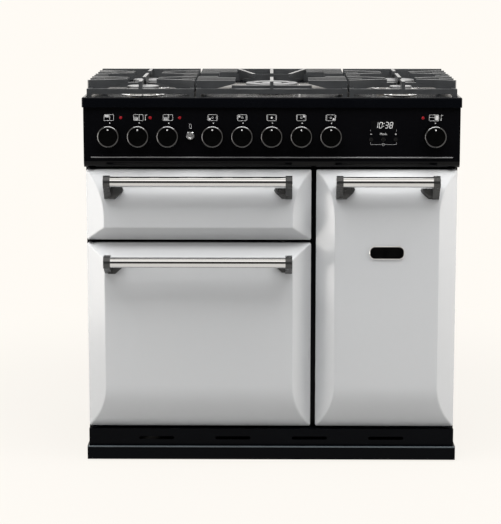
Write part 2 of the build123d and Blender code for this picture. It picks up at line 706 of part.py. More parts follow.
# Knobs
for x, name in zip(LEFT_KNOB_X, ("grill_knob", "main_oven_heat_knob", "main_oven_mode_knob")):
    make_knob(name, x, SHAFT_R)
make_knob("tall_oven_knob", OVEN_KNOB_X, SHAFT_R)
GAS_NAMES = ("front_left", "rear_left", "wok", "rear_right", "front_right")
for x, name in zip(HOB_KNOB_X, GAS_NAMES):
    make_knob(f"{name}_knob", x, None)
    with BuildPart() as spindle:
        rod_y(x, Y_FACIA - KNOB_GAP - HUB_R, Y_FRAME - PUSH - CLEAR, CONTROL_Z, SPINDLE_R)
    save(spindle.part, f"{name}_tap_spindle")

# Gas rail: pipe with five taps, and the supply that runs back to the inlet
with BuildPart() as gas_rail:
    rail_z = CONTROL_Z - RAIL_DROP
    rail_y = Y_FRAME - SWITCH_DEPTH / 2
    rod_x(HOB_KNOB_X[0] - RAIL_OVER, SUPPLY_X + RAIL_R, rail_y, rail_z, RAIL_R)
    rod_y(SUPPLY_X, rail_y, Y_BACK - CLEAR, rail_z, RAIL_R)
    rod_y(SUPPLY_X, Y_PANEL + CLEAR, Y_BACK - CLEAR, rail_z, INLET_R)
    for x in HOB_KNOB_X:
        top = CONTROL_Z + TAP_W / 2
        block(x - TAP_W / 2, x + TAP_W / 2, TAP_FRONT, Y_FRAME, top - TAP_H, top)
    for x in HOB_KNOB_X:
        rod_y(x, TAP_FRONT, Y_FRAME, CONTROL_Z, SPINDLE_R + RUN_FIT, mode=Mode.SUBTRACT)
save(gas_rail.part, "gas_rail")

# Burners: place and head radius of each
BURNERS = [
    (-BURNER_X, BURNER_FRONT_Y, HEAD_MEDIUM),
    (-BURNER_X, BURNER_REAR_Y, HEAD_MEDIUM),
    (0, WOK_Y, HEAD_WOK),
    (BURNER_X, BURNER_REAR_Y, HEAD_LARGE),
    (BURNER_X, BURNER_FRONT_Y, HEAD_SMALL),
]

# Hob tray: rolled rim, shallow well, hollow below, burner holes and flue slots
with BuildPart() as hob_tray:
    block(-HALF, HALF, Y_HOB, Y_BACK, FACIA_TOP, HOB_TOP)
    fillet(hob_tray.edges().filter_by(Axis.Z), HOB_CORNER)
    fillet(hob_tray.edges().group_by(Axis.Z)[-1], RIM_ROUND)
    well = (-HALF + HOB_RIM, HALF - HOB_RIM, Y_HOB + HOB_RIM, Y_BACK - HOB_RIM)
    block(*well, TRAY_TOP, HOB_TOP, mode=Mode.SUBTRACT)
    under = (-HALF + SHEET, HALF - SHEET, Y_HOB + SHEET, Y_BACK - SHEET)
    block(*under, FACIA_TOP, TRAY_LOW, mode=Mode.SUBTRACT)
    for x, y, head in BURNERS:
        rod_z(x, y, TRAY_LOW, TRAY_TOP, head - THROAT_IN + CLEAR, mode=Mode.SUBTRACT)
    with BuildSketch(Plane.XY.offset(TRAY_LOW)):
        with Locations((0, Y_BACK - FLUE_IN)):
            with GridLocations(FLUE_PITCH, 1, FLUE_COUNT, 1):
                SlotOverall(FLUE_L, FLUE_W)
    extrude(amount=SHEET, mode=Mode.SUBTRACT)
save(hob_tray.part, "hob_tray")

# Burner bodies: spill cup, head with its ported ring, and throat
HEAD_TOP = TRAY_TOP + CUP_T + HEAD_H
with BuildPart() as burner_bodies:
    for x, y, head in BURNERS:
        rod_z(x, y, TRAY_TOP, TRAY_TOP + CUP_T, head + CUP_EXTRA)
        rod_z(x, y, TRAY_TOP, HEAD_TOP, head - 2 * RING_IN)
        rod_z(x, y, HEAD_TOP, HEAD_TOP + RING_H, head - RING_IN)
        rod_z(x, y, TRAY_LOW - THROAT_DROP, TRAY_TOP, head - THROAT_IN)
    rod_z(0, WOK_Y, HEAD_TOP, HEAD_TOP + RING_H, HEAD_WOK - WOK_SLOT, mode=Mode.SUBTRACT)
    rod_z(0, WOK_Y, HEAD_TOP, HEAD_TOP + RING_H, WOK_CORE - RING_IN)
save(burner_bodies.part, "burner_bodies")

# Burner caps
with BuildPart() as burner_caps:
    cap_low = HEAD_TOP + RING_H
    for x, y, head in BURNERS:
        rod_z(x, y, cap_low, cap_low + CAP_H, head)
    rod_z(0, WOK_Y, cap_low, cap_low + CAP_H, HEAD_WOK - WOK_SLOT, mode=Mode.SUBTRACT)
    rod_z(0, WOK_Y, cap_low, cap_low + CAP_H, WOK_CORE)
    fillet(burner_caps.edges().group_by(Axis.Z)[-1], CAP_ROUND)
save(burner_caps.part, "burner_caps")

# Pan supports
GRATE_LOW = TRAY_TOP + GRATE_FOOT_H
GRATE_TOP = GRATE_LOW + GRATE_BAR_H
GRATE_Y0 = Y_HOB + GRATE_FRONT
GRATE_Y1 = GRATE_Y0 + GRATE_DEPTH


def finger(x0, y0, x1, y1, root_low, thick=BLADE):
    """Cast finger: deep at its root, thinning from below to its tip, level on top."""
    length = hypot(x1 - x0, y1 - y0)
    along = ((x1 - x0) / length, (y1 - y0) / length, 0)
    across = (along[1], -along[0], 0)
    with BuildSketch(Plane((x0, y0, 0), x_dir=along, z_dir=across)) as side:
        with BuildLine():
            Polyline(
                (0, root_low),
                (0, PAN_TOP),
                (length, PAN_TOP),
                (length, PAN_TOP - BLADE_TIP),
                (thick, root_low),
                close=True,
            )
        make_face()
    extrude(side.sketch, amount=thick / 2, both=True)


def grate_frame(x0, x1):
    """Rectangular bar frame with a high rear bar and four short feet."""
    block(x0, x1, GRATE_Y0, GRATE_Y1, GRATE_LOW, GRATE_TOP)
    inner = (x0 + GRATE_BAR, x1 - GRATE_BAR, GRATE_Y0 + GRATE_BAR, GRATE_Y1 - GRATE_BAR)
    block(*inner, GRATE_LOW, GRATE_TOP, mode=Mode.SUBTRACT)
    block(x0, x1, GRATE_Y1 - GRATE_BAR, GRATE_Y1, GRATE_TOP, PAN_TOP)
    for x in (x0, x1 - GRATE_BAR):
        for y in (GRATE_Y0, GRATE_Y1 - GRATE_BAR):
            block(x, x + GRATE_BAR, y, y + GRATE_BAR, TRAY_TOP, GRATE_LOW)


def side_grate(name, side):
    """Pan support over a front and a rear burner."""
    middle = side * BURNER_X
    x0, x1 = middle - GRATE_SIDE_W / 2, middle + GRATE_SIDE_W / 2
    split = (BURNER_FRONT_Y + BURNER_REAR_Y) / 2
    with BuildPart() as grate:
        grate_frame(x0, x1)
        block(x0, x1, split - GRATE_BAR / 2, split + GRATE_BAR / 2, GRATE_LOW, GRATE_TOP)
        for y in (BURNER_FRONT_Y, BURNER_REAR_Y):
            for way in (-1, 1):
                for root, tip in ((x0, middle - TIP_R), (x1, middle + TIP_R)):
                    finger(root, y + way * FINGER_SPLAY, tip, y + way * TIP_SPLAY, GRATE_LOW)
        for y in (BURNER_FRONT_Y, split, BURNER_REAR_Y):
            finger(x0, y, x0 + TOOTH_L, y, GRATE_LOW)
            finger(x1, y, x1 - TOOTH_L, y, GRATE_LOW)
        finger(middle, GRATE_Y0, middle, BURNER_FRONT_Y - TIP_R, GRATE_LOW)
        finger(middle, split, middle, BURNER_FRONT_Y + TIP_R, GRATE_LOW)
        finger(middle, split, middle, BURNER_REAR_Y - TIP_R, GRATE_LOW)
        finger(middle, GRATE_Y1, middle, BURNER_REAR_Y + TIP_R, GRATE_LOW)
    save(grate.part, name)


side_grate("left_pan_support", -1)
side_grate("right_pan_support", 1)

with BuildPart() as centre_pan_support:
    half = GRATE_MID_W / 2
    grate_frame(-half, half)
    rows = [SLAT_FIRST + SLAT_PITCH * step for step in range(SLAT_COUNT)]
    for side in (-1, 1):
        for row in rows:
            length = SLAT_L if row != rows[-1] else SLAT_SHORT
            for y in (GRATE_Y0 + row, GRATE_Y1 - row):
                finger(side * half, y, side * (half - length), y, GRATE_LOW)
        tip_x, tip_y = side * WOK_TIP * sin(WOK_ANGLE), WOK_Y + WOK_TIP * cos(WOK_ANGLE)
        finger(side * (half - SLAT_L), GRATE_Y1, tip_x, tip_y, GRATE_LOW)
    for y in (GRATE_Y0 + SLAT_FIRST, GRATE_Y1 - SLAT_FIRST):
        reach = half - SLAT_L + BLADE
        block(-reach, reach, y - BLADE / 2, y + BLADE / 2, GRATE_LOW, GRATE_TOP + CROSS_RISE)
    finger(0, GRATE_Y0, 0, WOK_Y - WOK_TIP, GRATE_LOW)
    finger(0, GRATE_Y1, 0, WOK_Y + WOK_TIP, GRATE_LOW)
save(centre_pan_support.part, "centre_pan_support")


# Fans: backing disc with upright blades, hub and shaft
FAN_X = {"main_oven": sum(LEFT_MOUTH) / 2, "tall_oven": sum(TALL_MOUTH) / 2}
FAN_Z = {"main_oven": MAIN_FAN_Z, "tall_oven": TALL_FAN_Z}
DISC_BACK = Y_CAVITY - FAN_GAP
DISC_FRONT = DISC_BACK - FAN_DISC
for oven in FAN_X:
    x, z = FAN_X[oven], FAN_Z[oven]
    with BuildPart() as fan:
        rod_y(x, DISC_FRONT, DISC_BACK, z, FAN_R)
        rod_y(x, DISC_FRONT - FAN_BLADE_H, DISC_FRONT, z, FAN_HUB_R)
        rod_y(x, DISC_BACK, Y_CAVITY + SHEET + MOTOR_L / 2, z, FAN_SHAFT_R)
        with BuildSketch(Plane.XZ.offset(-DISC_FRONT)):
            with Locations((x, z)):
                with PolarLocations(FAN_R - FAN_BLADE_L / 2 - FAN_DISC, FAN_BLADE_COUNT):
                    Rectangle(FAN_BLADE_L, FAN_DISC)
        extrude(amount=FAN_BLADE_H)
    save(fan.part, f"{oven}_fan")

# Fan motors behind the cavities
with BuildPart() as fan_motors:
    for oven in FAN_X:
        x, z = FAN_X[oven], FAN_Z[oven]
        start = Y_CAVITY + SHEET
        rod_y(x, start, start + MOTOR_L, z, MOTOR_R)
        bore = (x, start, start + MOTOR_L / 2 + CLEAR, z)
        rod_y(*bore, FAN_SHAFT_R + RUN_FIT, mode=Mode.SUBTRACT)
save(fan_motors.part, "fan_motors")

# Fan covers: shallow pans on the back wall with a round inlet and side outlets
with BuildPart() as fan_covers:
    for oven, mouth in (("main_oven", LEFT_MOUTH), ("tall_oven", TALL_MOUTH)):
        x0, x1 = mouth[0] + COVER_IN, mouth[1] - COVER_IN
        x, z = FAN_X[oven], FAN_Z[oven]
        z0, z1 = z - COVER_HALF, z + COVER_HALF
        front = Y_CAVITY - COVER_DEPTH
        block(x0, x1, front, Y_CAVITY, z0, z1)
        inside = (x0 + SHEET, x1 - SHEET, front + SHEET, Y_CAVITY)
        block(*inside, z0 + SHEET, z1 - SHEET, mode=Mode.SUBTRACT)
        with BuildSketch(Plane.XZ.offset(-front - SHEET)):
            with Locations((x, z)):
                SlotOverall(2 * COVER_HOLE_R, COVER_SLOT_W)
                with Locations((0, 2 * COVER_SLOT_W), (0, -2 * COVER_SLOT_W)):
                    SlotOverall(COVER_HOLE_R, COVER_SLOT_W)
            for edge in (x0 + COVER_SLOT_W * 2, x1 - COVER_SLOT_W * 2):
                with Locations((edge, z + COVER_SLOT), (edge, z - COVER_SLOT)):
                    SlotOverall(COVER_SLOT, COVER_SLOT_W, rotation=90)
        extrude(amount=SHEET, mode=Mode.SUBTRACT)
save(fan_covers.part, "fan_covers")

# Shelf runners: a ladder on each side wall, and two rails in the grill
LADDER_Y0 = Y_BODY + LADDER_MARGIN
LADDER_Y1 = Y_CAVITY - COVER_DEPTH - LADDER_MARGIN


def shelf_levels(mouth, count):
    """Evenly spaced shelf heights in a cavity."""
    low, top = mouth[2], mouth[3]
    return [low + (top - low) * (step + 1) / (count + 1) for step in range(count)]


with BuildPart() as shelf_runners:
    for mouth, count in ((MAIN_MOUTH, MAIN_SHELF_COUNT), (TALL_OVEN_MOUTH, TALL_SHELF_COUNT)):
        x0, x1, z0, z1 = mouth
        for wall, way in ((x0, 1), (x1, -1)):
            near, far = sorted((wall, wall + way * LADDER_T))
            for y in (LADDER_Y0 + LADDER_BAR, LADDER_Y1 - 2 * LADDER_BAR):
                block(near, far, y, y + LADDER_BAR, z0 + LADDER_MARGIN, z1 - LADDER_MARGIN)
            near, far = sorted((wall, wall + way * RUNNER))
            for level in shelf_levels(mouth, count):
                block(near, far, LADDER_Y0, LADDER_Y1, level - RUNNER_H, level)
    x0, x1, z0, z1 = GRILL_MOUTH
    rail = z0 + GRILL_RAIL_Z
    for wall, way in ((x0, 1), (x1, -1)):
        near, far = sorted((wall, wall + way * PAN_FLANGE))
        block(near, far, Y_BODY + PAN_FRONT, Y_BODY + PAN_FRONT + PAN_LONG, rail - RUNNER_H, rail)
save(shelf_runners.part, "shelf_runners")

# Oven shelves: bar grids lying on the runners
with BuildPart() as oven_shelves:
    for mouth, count in ((MAIN_MOUTH, MAIN_SHELF_COUNT), (TALL_OVEN_MOUTH, TALL_SHELF_COUNT)):
        x0, x1, z0, z1 = mouth
        half = (x1 - x0) / 2 - LADDER_T - SHELF_PLAY
        start = Y_BODY + SHELF_FRONT
        length = LADDER_Y1 - start
        for level in shelf_levels(mouth, count):
            with BuildSketch(Plane.XY.offset(level)):
                with Locations(((x0 + x1) / 2, start + length / 2)):
                    Rectangle(2 * half, length)
                    gap = (2 * half - SHELF_WIRE) / SHELF_COUNT
                    with GridLocations(gap, 1, SHELF_COUNT, 1):
                        Rectangle(gap - SHELF_WIRE, length - 2 * SHELF_WIRE, mode=Mode.SUBTRACT)
            extrude(amount=SHELF_H)
save(oven_shelves.part, "oven_shelves")

# Grill pan hung by its flanges on the rails
with BuildPart() as grill_pan:
    x0, x1 = LEFT_MOUTH[0] + PAN_IN, LEFT_MOUTH[1] - PAN_IN
    rail = GRILL_MOUTH[2] + GRILL_RAIL_Z
    y0, y1 = Y_BODY + PAN_FRONT, Y_BODY + PAN_FRONT + PAN_LONG
    block(x0, x1, y0, y1, rail - PAN_DEEP, rail + SHEET)
    reach = PAN_IN - SHELF_PLAY
    block(x0 - reach, x1 + reach, y0, y1, rail, rail + SHEET)
    inside = (x0 + SHEET, x1 - SHEET, y0 + SHEET, y1 - SHEET)
    block(*inside, rail - PAN_DEEP + SHEET, rail + SHEET, mode=Mode.SUBTRACT)
save(grill_pan.part, "grill_pan")

# Grill element: one tube folded under the roof of the grill
with BuildPart() as grill_element:
    height = GRILL_MOUTH[3] - ELEMENT_DROP
    bend = ELEMENT_PITCH / 2
    near = Y_BODY + ELEMENT_FRONT + bend
    far = Y_CAVITY - ELEMENT_FRONT - bend
    first = sum(LEFT_MOUTH) / 2 - ELEMENT_PITCH * (ELEMENT_RUN_COUNT - 1) / 2
    with BuildLine() as path:
        for run in range(ELEMENT_RUN_COUNT):
            x = first + run * ELEMENT_PITCH
            front_turn = run % 2 == 0
            start = Y_CAVITY if run == 0 else (near if not front_turn else far)
            end = Y_CAVITY if run == ELEMENT_RUN_COUNT - 1 else (near if front_turn else far)
            Line((x, start, height), (x, end, height))
            if run < ELEMENT_RUN_COUNT - 1:
                reach = end - bend if front_turn else end + bend
                ThreePointArc((x, end, height), (x + bend, reach, height), (x + ELEMENT_PITCH, end, height))
    with BuildSketch(Plane((first, Y_CAVITY, height), x_dir=(1, 0, 0), z_dir=(0, -1, 0))):
        Circle(ELEMENT_R)
    sweep(path=path.wires()[0])
save(grill_element.part, "grill_element")
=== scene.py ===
# %% [markdown]
# # A dual fuel range cooker, dressed for the showroom
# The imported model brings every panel, door, knob and pan support at its true size. This lesson gives
# each of them its finish, then adds what sits on their surfaces: signs, bright rims, burner rings,
# igniters and screws.

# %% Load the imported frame
import json
import math

import bmesh
import bpy
from mathutils import Matrix, Vector


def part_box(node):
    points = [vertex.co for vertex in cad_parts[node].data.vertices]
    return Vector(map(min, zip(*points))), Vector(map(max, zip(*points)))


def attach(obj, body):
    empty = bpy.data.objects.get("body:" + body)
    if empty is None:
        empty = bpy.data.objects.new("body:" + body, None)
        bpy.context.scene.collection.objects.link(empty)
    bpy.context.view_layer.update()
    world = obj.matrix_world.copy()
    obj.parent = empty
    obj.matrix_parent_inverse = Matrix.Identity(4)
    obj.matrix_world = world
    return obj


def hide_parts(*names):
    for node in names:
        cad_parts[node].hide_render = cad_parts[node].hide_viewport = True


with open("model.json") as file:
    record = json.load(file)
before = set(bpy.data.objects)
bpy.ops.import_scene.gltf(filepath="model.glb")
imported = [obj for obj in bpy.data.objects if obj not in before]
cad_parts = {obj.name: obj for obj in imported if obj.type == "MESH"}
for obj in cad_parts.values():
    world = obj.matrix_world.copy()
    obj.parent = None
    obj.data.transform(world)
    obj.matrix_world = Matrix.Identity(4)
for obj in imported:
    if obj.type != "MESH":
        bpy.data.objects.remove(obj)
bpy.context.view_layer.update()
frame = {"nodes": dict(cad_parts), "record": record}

nodes = frame["nodes"]
scene = bpy.context.scene
scene.view_settings.view_transform = "Standard"

# %% [markdown]
# ## Camera
# The cooker was photographed nearly square on, from a little above the pan supports, with a long lens.
# A vertical shift would keep the sides dead upright, but it stays in force when the camera walks round
# the cooker. A long lens far away, tilted down by a few degrees, gives almost the same picture.

# %% Camera
FRONT_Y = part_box("main_oven_door_skin")[0][1]
CAMERA_BACK = 4.5
CAMERA_HIGH = 1.259
AIM = Vector((-0.0499, FRONT_Y, 0.4931))
LENS = 131.48

bpy.ops.object.select_all(action="DESELECT")
bpy.ops.object.camera_add(location=(0, FRONT_Y - CAMERA_BACK, CAMERA_HIGH))
camera = bpy.context.object
camera.rotation_euler = (AIM - camera.location).to_track_quat("-Z", "Y").to_euler()
camera.data.lens = LENS
camera.data.sensor_width = 36
scene.camera = camera
print("camera at", tuple(camera.location))

# %% [markdown]
# ## Studio
# Gloss black enamel and chrome show the room more than themselves. A real product studio hangs a wide
# soft box overhead, stands one at each side, and leaves the camera's side dark. The dark card here does
# that last job: it puts the dark band into the chrome and keeps the control panel black. It is hidden
# from the camera, as a flag just out of the picture would be. The key lamp and the right one are small and
# strong, so they are kept out of the reflections: chrome then shows the pale room, as it does under a wide
# silk. The two side lamps are warmer than the rest, so the bevels turn to cream against the cool faces.
# The floor is paper that fades to the plain colour of the room a step away, and keeps the soft shadow.


# %% World: a pale cream room, dimmer for the light it casts
def looked_at(tree):
    """A socket that is 1 for rays from the camera, from metal or through glass, and otherwise 0."""
    ray = tree.nodes.new("ShaderNodeLightPath")
    result = ray.outputs["Is Camera Ray"]
    for kind in ("Is Glossy Ray", "Is Transmission Ray"):
        either = tree.nodes.new("ShaderNodeMath")
        either.operation = "MAXIMUM"
        tree.links.new(result, either.inputs[0])
        tree.links.new(ray.outputs[kind], either.inputs[1])
        result = either.outputs[0]
    return result


PAPER = (1.0, 0.965, 0.91, 1)
CAST_COLOUR = (0.95, 0.97, 1.0, 1)
CAST_STRENGTH = 0.34
world = bpy.data.worlds.new("pale_room")
scene.world = world
world.use_nodes = True
room = world.node_tree
room.nodes.clear()
seen = room.nodes.new("ShaderNodeBackground")
seen.inputs["Color"].default_value = PAPER
cast = room.nodes.new("ShaderNodeBackground")
cast.inputs["Color"].default_value = CAST_COLOUR
cast.inputs["Strength"].default_value = CAST_STRENGTH
blend = room.nodes.new("ShaderNodeMixShader")
out = room.nodes.new("ShaderNodeOutputWorld")
room.links.new(looked_at(room), blend.inputs["Fac"])
room.links.new(cast.outputs[0], blend.inputs[1])
room.links.new(seen.outputs[0], blend.inputs[2])
room.links.new(blend.outputs[0], out.inputs["Surface"])
print("world", world.name)


# %% Soft boxes
def soft_box(name, place, target, wide, high, watts):
    """A flat lamp that looks at a point."""
    bpy.ops.object.light_add(type="AREA", location=place)
    lamp = bpy.context.object
    lamp.name = name
    lamp.rotation_euler = (Vector(target) - Vector(place)).to_track_quat("-Z", "Y").to_euler()
    lamp.data.shape = "RECTANGLE"
    lamp.data.size = wide
    lamp.data.size_y = high
    lamp.data.energy = watts
    print(name, watts, "watts")
    return lamp


DOORS = (0, -0.27, 0.55)
WARM = (1.0, 0.965, 0.925)
key = soft_box("front_box", (0, -0.80, 2.17), DOORS, 3.2, 1.0, 74)
key.visible_glossy = False
soft_box("fill_box", (0, -2.53, 2.75), DOORS, 3.0, 1.0, 7)
soft_box("overhead_box", (0, 0.3, 2.9), (0, 0.1, 0.4), 2.6, 1.2, 8)
left = soft_box("left_box", (-1.45, -0.52, 0.60), (-0.42, -0.27, 0.45), 0.50, 1.0, 9.0)
right = soft_box("right_box", (1.45, -0.52, 0.80), (0.42, -0.27, 0.45), 0.50, 1.0, 10)
soft_box("rear_box", (0, 3.2, 2.4), (0, 0.2, 0.5), 3.0, 1.6, 30)
for side in (left, right):
    side.data.color = WARM
right.visible_glossy = False

# %% Floor and dark card
PAPER_NEAR = 0.88
FADE_FROM, FADE_TO = 0.5, 1.8
FLOOR_TONE = (0.48, 0.48, 0.476, 1)
FLOOR_SIZE, FLOOR_DROP = 60, 0.0006
CARD_AT, CARD_W, CARD_H = (0, -2.6, 0.95), 6.0, 1.9
CARD_TONE = (0.01, 0.01, 0.01, 1)
bpy.ops.mesh.primitive_plane_add(size=FLOOR_SIZE, location=(0, 0, -FLOOR_DROP))
floor = bpy.context.object
floor.name = "studio_floor"
paper = bpy.data.materials.new("paper_floor")
paper.use_nodes = True
tree = paper.node_tree
tree.nodes.clear()
matt = tree.nodes.new("ShaderNodeBsdfDiffuse")
matt.inputs["Color"].default_value = FLOOR_TONE
glow = tree.nodes.new("ShaderNodeEmission")
glow.inputs["Color"].default_value = PAPER
share = tree.nodes.new("ShaderNodeMath")
share.operation = "MULTIPLY"
place = tree.nodes.new("ShaderNodeTexCoord")
away = tree.nodes.new("ShaderNodeVectorMath")
away.operation = "LENGTH"
fade = tree.nodes.new("ShaderNodeMapRange")
fade.interpolation_type = "SMOOTHSTEP"
fade.inputs["From Min"].default_value = FADE_FROM
fade.inputs["From Max"].default_value = FADE_TO
fade.inputs["To Min"].default_value = PAPER_NEAR
fade.inputs["To Max"].default_value = 1.0
mixed = tree.nodes.new("ShaderNodeMixShader")
out = tree.nodes.new("ShaderNodeOutputMaterial")
tree.links.new(place.outputs["Object"], away.inputs[0])
tree.links.new(away.outputs["Value"], fade.inputs["Value"])
tree.links.new(looked_at(tree), share.inputs[0])
tree.links.new(fade.outputs["Result"], share.inputs[1])
tree.links.new(share.outputs[0], mixed.inputs["Fac"])
tree.links.new(matt.outputs[0], mixed.inputs[1])
tree.links.new(glow.outputs[0], mixed.inputs[2])
tree.links.new(mixed.outputs[0], out.inputs["Surface"])
floor.data.materials.append(paper)

bpy.ops.mesh.primitive_plane_add(size=1, location=CARD_AT, rotation=(math.pi / 2, 0, 0))
card = bpy.context.object
card.name = "dark_card"
card.scale = (CARD_W, CARD_H, 1)
card.visible_camera = False
card.visible_shadow = False
card.visible_diffuse = False
black = bpy.data.materials.new("card_black")
black.use_nodes = True
black.node_tree.nodes["Principled BSDF"].inputs["Base Color"].default_value = CARD_TONE
card.data.materials.append(black)
print("floor and card stand outside the cooker")

# %% [markdown]
# ## Shared surface effects
# No made surface is one flat colour. Enamel flows a little while it is fired, castings are gritty, rolled
# sheet keeps the direction of the rolls. Three small node groups hold these effects, and every finish
# below places one of them with its own values.


# %% Group helpers
def new_group(name, inputs, outputs):
    """A shader node group with named sockets, and its two end nodes."""
    group = bpy.data.node_groups.new(name, "ShaderNodeTree")
    for socket, kind in inputs:
        group.interface.new_socket(socket, in_out="INPUT", socket_type=kind)
    for socket, kind in outputs:
        group.interface.new_socket(socket, in_out="OUTPUT", socket_type=kind)
    start = group.nodes.new("NodeGroupInput")
    end = group.nodes.new("NodeGroupOutput")
    return group, start, end


VALUE, COLOUR, VECTOR = "NodeSocketFloat", "NodeSocketColor", "NodeSocketVector"
NOISE_LOW, NOISE_HIGH = 0.3, 0.7


def noise_in(group, scale_from, detail=3.0):
    """Noise on the object's own coordinates, its scale led in from a socket."""
    place = group.nodes.new("ShaderNodeTexCoord")
    noise = group.nodes.new("ShaderNodeTexNoise")
    noise.inputs["Detail"].default_value = detail
    group.links.new(place.outputs["Object"], noise.inputs["Vector"])
    group.links.new(scale_from, noise.inputs["Scale"])
    return noise


def two_tone(group, start, end, noise):
    """Lead one noise to the mix of two colours and to a roughness between two limits."""
    tint = group.nodes.new("ShaderNodeMix")
    tint.data_type = "RGBA"
    rough = group.nodes.new("ShaderNodeMapRange")
    rough.inputs["From Min"].default_value = NOISE_LOW
    rough.inputs["From Max"].default_value = NOISE_HIGH
    group.links.new(noise.outputs["Fac"], tint.inputs["Factor"])
    group.links.new(start.outputs["Colour"], tint.inputs["A"])
    group.links.new(start.outputs["Second Colour"], tint.inputs["B"])
    group.links.new(noise.outputs["Fac"], rough.inputs["Value"])
    group.links.new(start.outputs["Rough Low"], rough.inputs["To Min"])
    group.links.new(start.outputs["Rough High"], rough.inputs["To Max"])
    group.links.new(tint.outputs["Result"], end.inputs["Colour"])
    group.links.new(rough.outputs["Result"], end.inputs["Roughness"])


# %% Cloudy variation: two close colours, a roughness range, a fine height
cloudy, start, end = new_group(
    "cloudy_variation",
    [("Colour", COLOUR), ("Second Colour", COLOUR), ("Cloud Scale", VALUE), ("Grain Scale", VALUE),
     ("Rough Low", VALUE), ("Rough High", VALUE)],
    [("Colour", COLOUR), ("Roughness", VALUE), ("Height", VALUE)],
)
cloud = noise_in(cloudy, start.outputs["Cloud Scale"], 4)
grain = noise_in(cloudy, start.outputs["Grain Scale"], 2)
two_tone(cloudy, start, end, cloud)
cloudy.links.new(grain.outputs["Fac"], end.inputs["Height"])
print("group", cloudy.name)

# %% Rolled streaks: noise drawn out along one direction
streaks, start, end = new_group(
    "rolled_streaks",
    [("Colour", COLOUR), ("Second Colour", COLOUR), ("Stretch", VECTOR), ("Rough Low", VALUE),
     ("Rough High", VALUE)],
    [("Colour", COLOUR), ("Roughness", VALUE), ("Height", VALUE)],
)
place = streaks.nodes.new("ShaderNodeTexCoord")
pull = streaks.nodes.new("ShaderNodeMapping")
line = streaks.nodes.new("ShaderNodeTexNoise")
line.inputs["Scale"].default_value = 1.0
line.inputs["Detail"].default_value = 3.0
streaks.links.new(place.outputs["Object"], pull.inputs["Vector"])
streaks.links.new(start.outputs["Stretch"], pull.inputs["Scale"])
streaks.links.new(pull.outputs["Vector"], line.inputs["Vector"])
two_tone(streaks, start, end, line)
streaks.links.new(line.outputs["Fac"], end.inputs["Height"])
print("group", streaks.name)

# %% Fired speckle: small pale flecks in a dark glaze
speckle, start, end = new_group(
    "fired_speckle",
    [("Ground", COLOUR), ("Fleck", COLOUR), ("Scale", VALUE), ("Fleck Size", VALUE)],
    [("Colour", COLOUR), ("Mask", VALUE)],
)
place = speckle.nodes.new("ShaderNodeTexCoord")
cell = speckle.nodes.new("ShaderNodeTexVoronoi")
small = speckle.nodes.new("ShaderNodeMath")
small.operation = "LESS_THAN"
tint = speckle.nodes.new("ShaderNodeMix")
tint.data_type = "RGBA"
speckle.links.new(place.outputs["Object"], cell.inputs["Vector"])
speckle.links.new(start.outputs["Scale"], cell.inputs["Scale"])
speckle.links.new(cell.outputs["Distance"], small.inputs[0])
speckle.links.new(start.outputs["Fleck Size"], small.inputs[1])
speckle.links.new(small.outputs[0], tint.inputs["Factor"])
speckle.links.new(start.outputs["Ground"], tint.inputs["A"])
speckle.links.new(start.outputs["Fleck"], tint.inputs["B"])
speckle.links.new(tint.outputs["Result"], end.inputs["Colour"])
speckle.links.new(small.outputs[0], end.inputs["Mask"])
print("group", speckle.name)


# %% Finish builders
def grey(value, warm=0.0):
    """A near neutral colour; warm tips it towards red, and below nought towards blue."""
    return (value * (1 + warm), value, value * (1 - warm), 1)


def new_finish(name, group, values, bump, depth, **sockets):
    """A material whose colour, roughness and bump come from a group; plain values go on the shader."""
    material = bpy.data.materials.new(name)
    material.use_nodes = True
    tree = material.node_tree
    shader = tree.nodes["Principled BSDF"]
    effect = tree.nodes.new("ShaderNodeGroup")
    effect.node_tree = group
    for socket, value in values.items():
        effect.inputs[socket].default_value = value
    tree.links.new(effect.outputs["Colour"], shader.inputs["Base Color"])
    tree.links.new(effect.outputs["Roughness"], shader.inputs["Roughness"])
    relief = tree.nodes.new("ShaderNodeBump")
    relief.inputs["Strength"].default_value = bump
    relief.inputs["Distance"].default_value = depth
    tree.links.new(effect.outputs["Height"], relief.inputs["Height"])
    tree.links.new(relief.outputs["Normal"], shader.inputs["Normal"])
    for socket, value in sockets.items():
        shader.inputs[socket.replace("_", " ")].default_value = value
    return material


def cloudy_finish(name, colour, second, cloud, grain, rough, bump=0.1, depth=0.0004, **sockets):
    """A finish with soft clouds of two close colours."""
    values = {"Colour": colour, "Second Colour": second, "Cloud Scale": cloud, "Grain Scale": grain,
              "Rough Low": rough[0], "Rough High": rough[1]}
    return new_finish(name, cloudy, values, bump, depth, **sockets)


def streaked_finish(name, colour, second, stretch, rough, bump=0.1, depth=0.0002, **sockets):
    """A metal finish with streaks along one direction."""
    values = {"Colour": colour, "Second Colour": second, "Stretch": stretch,
              "Rough Low": rough[0], "Rough High": rough[1]}
    return new_finish(name, streaks, values, bump, depth, **sockets)


finishes = {}
print("finish builders ready")

# %% [markdown]
# ## Enamels
# The doors are steel with a fired pearl grey enamel: glassy, with a slow ripple that only shows in the
# reflections. The side panels, plinth and hinge brackets wear the same glaze in black, the hob a slightly
# glossier one, and the inside of the ovens a black glaze with flecks, which hides stains.

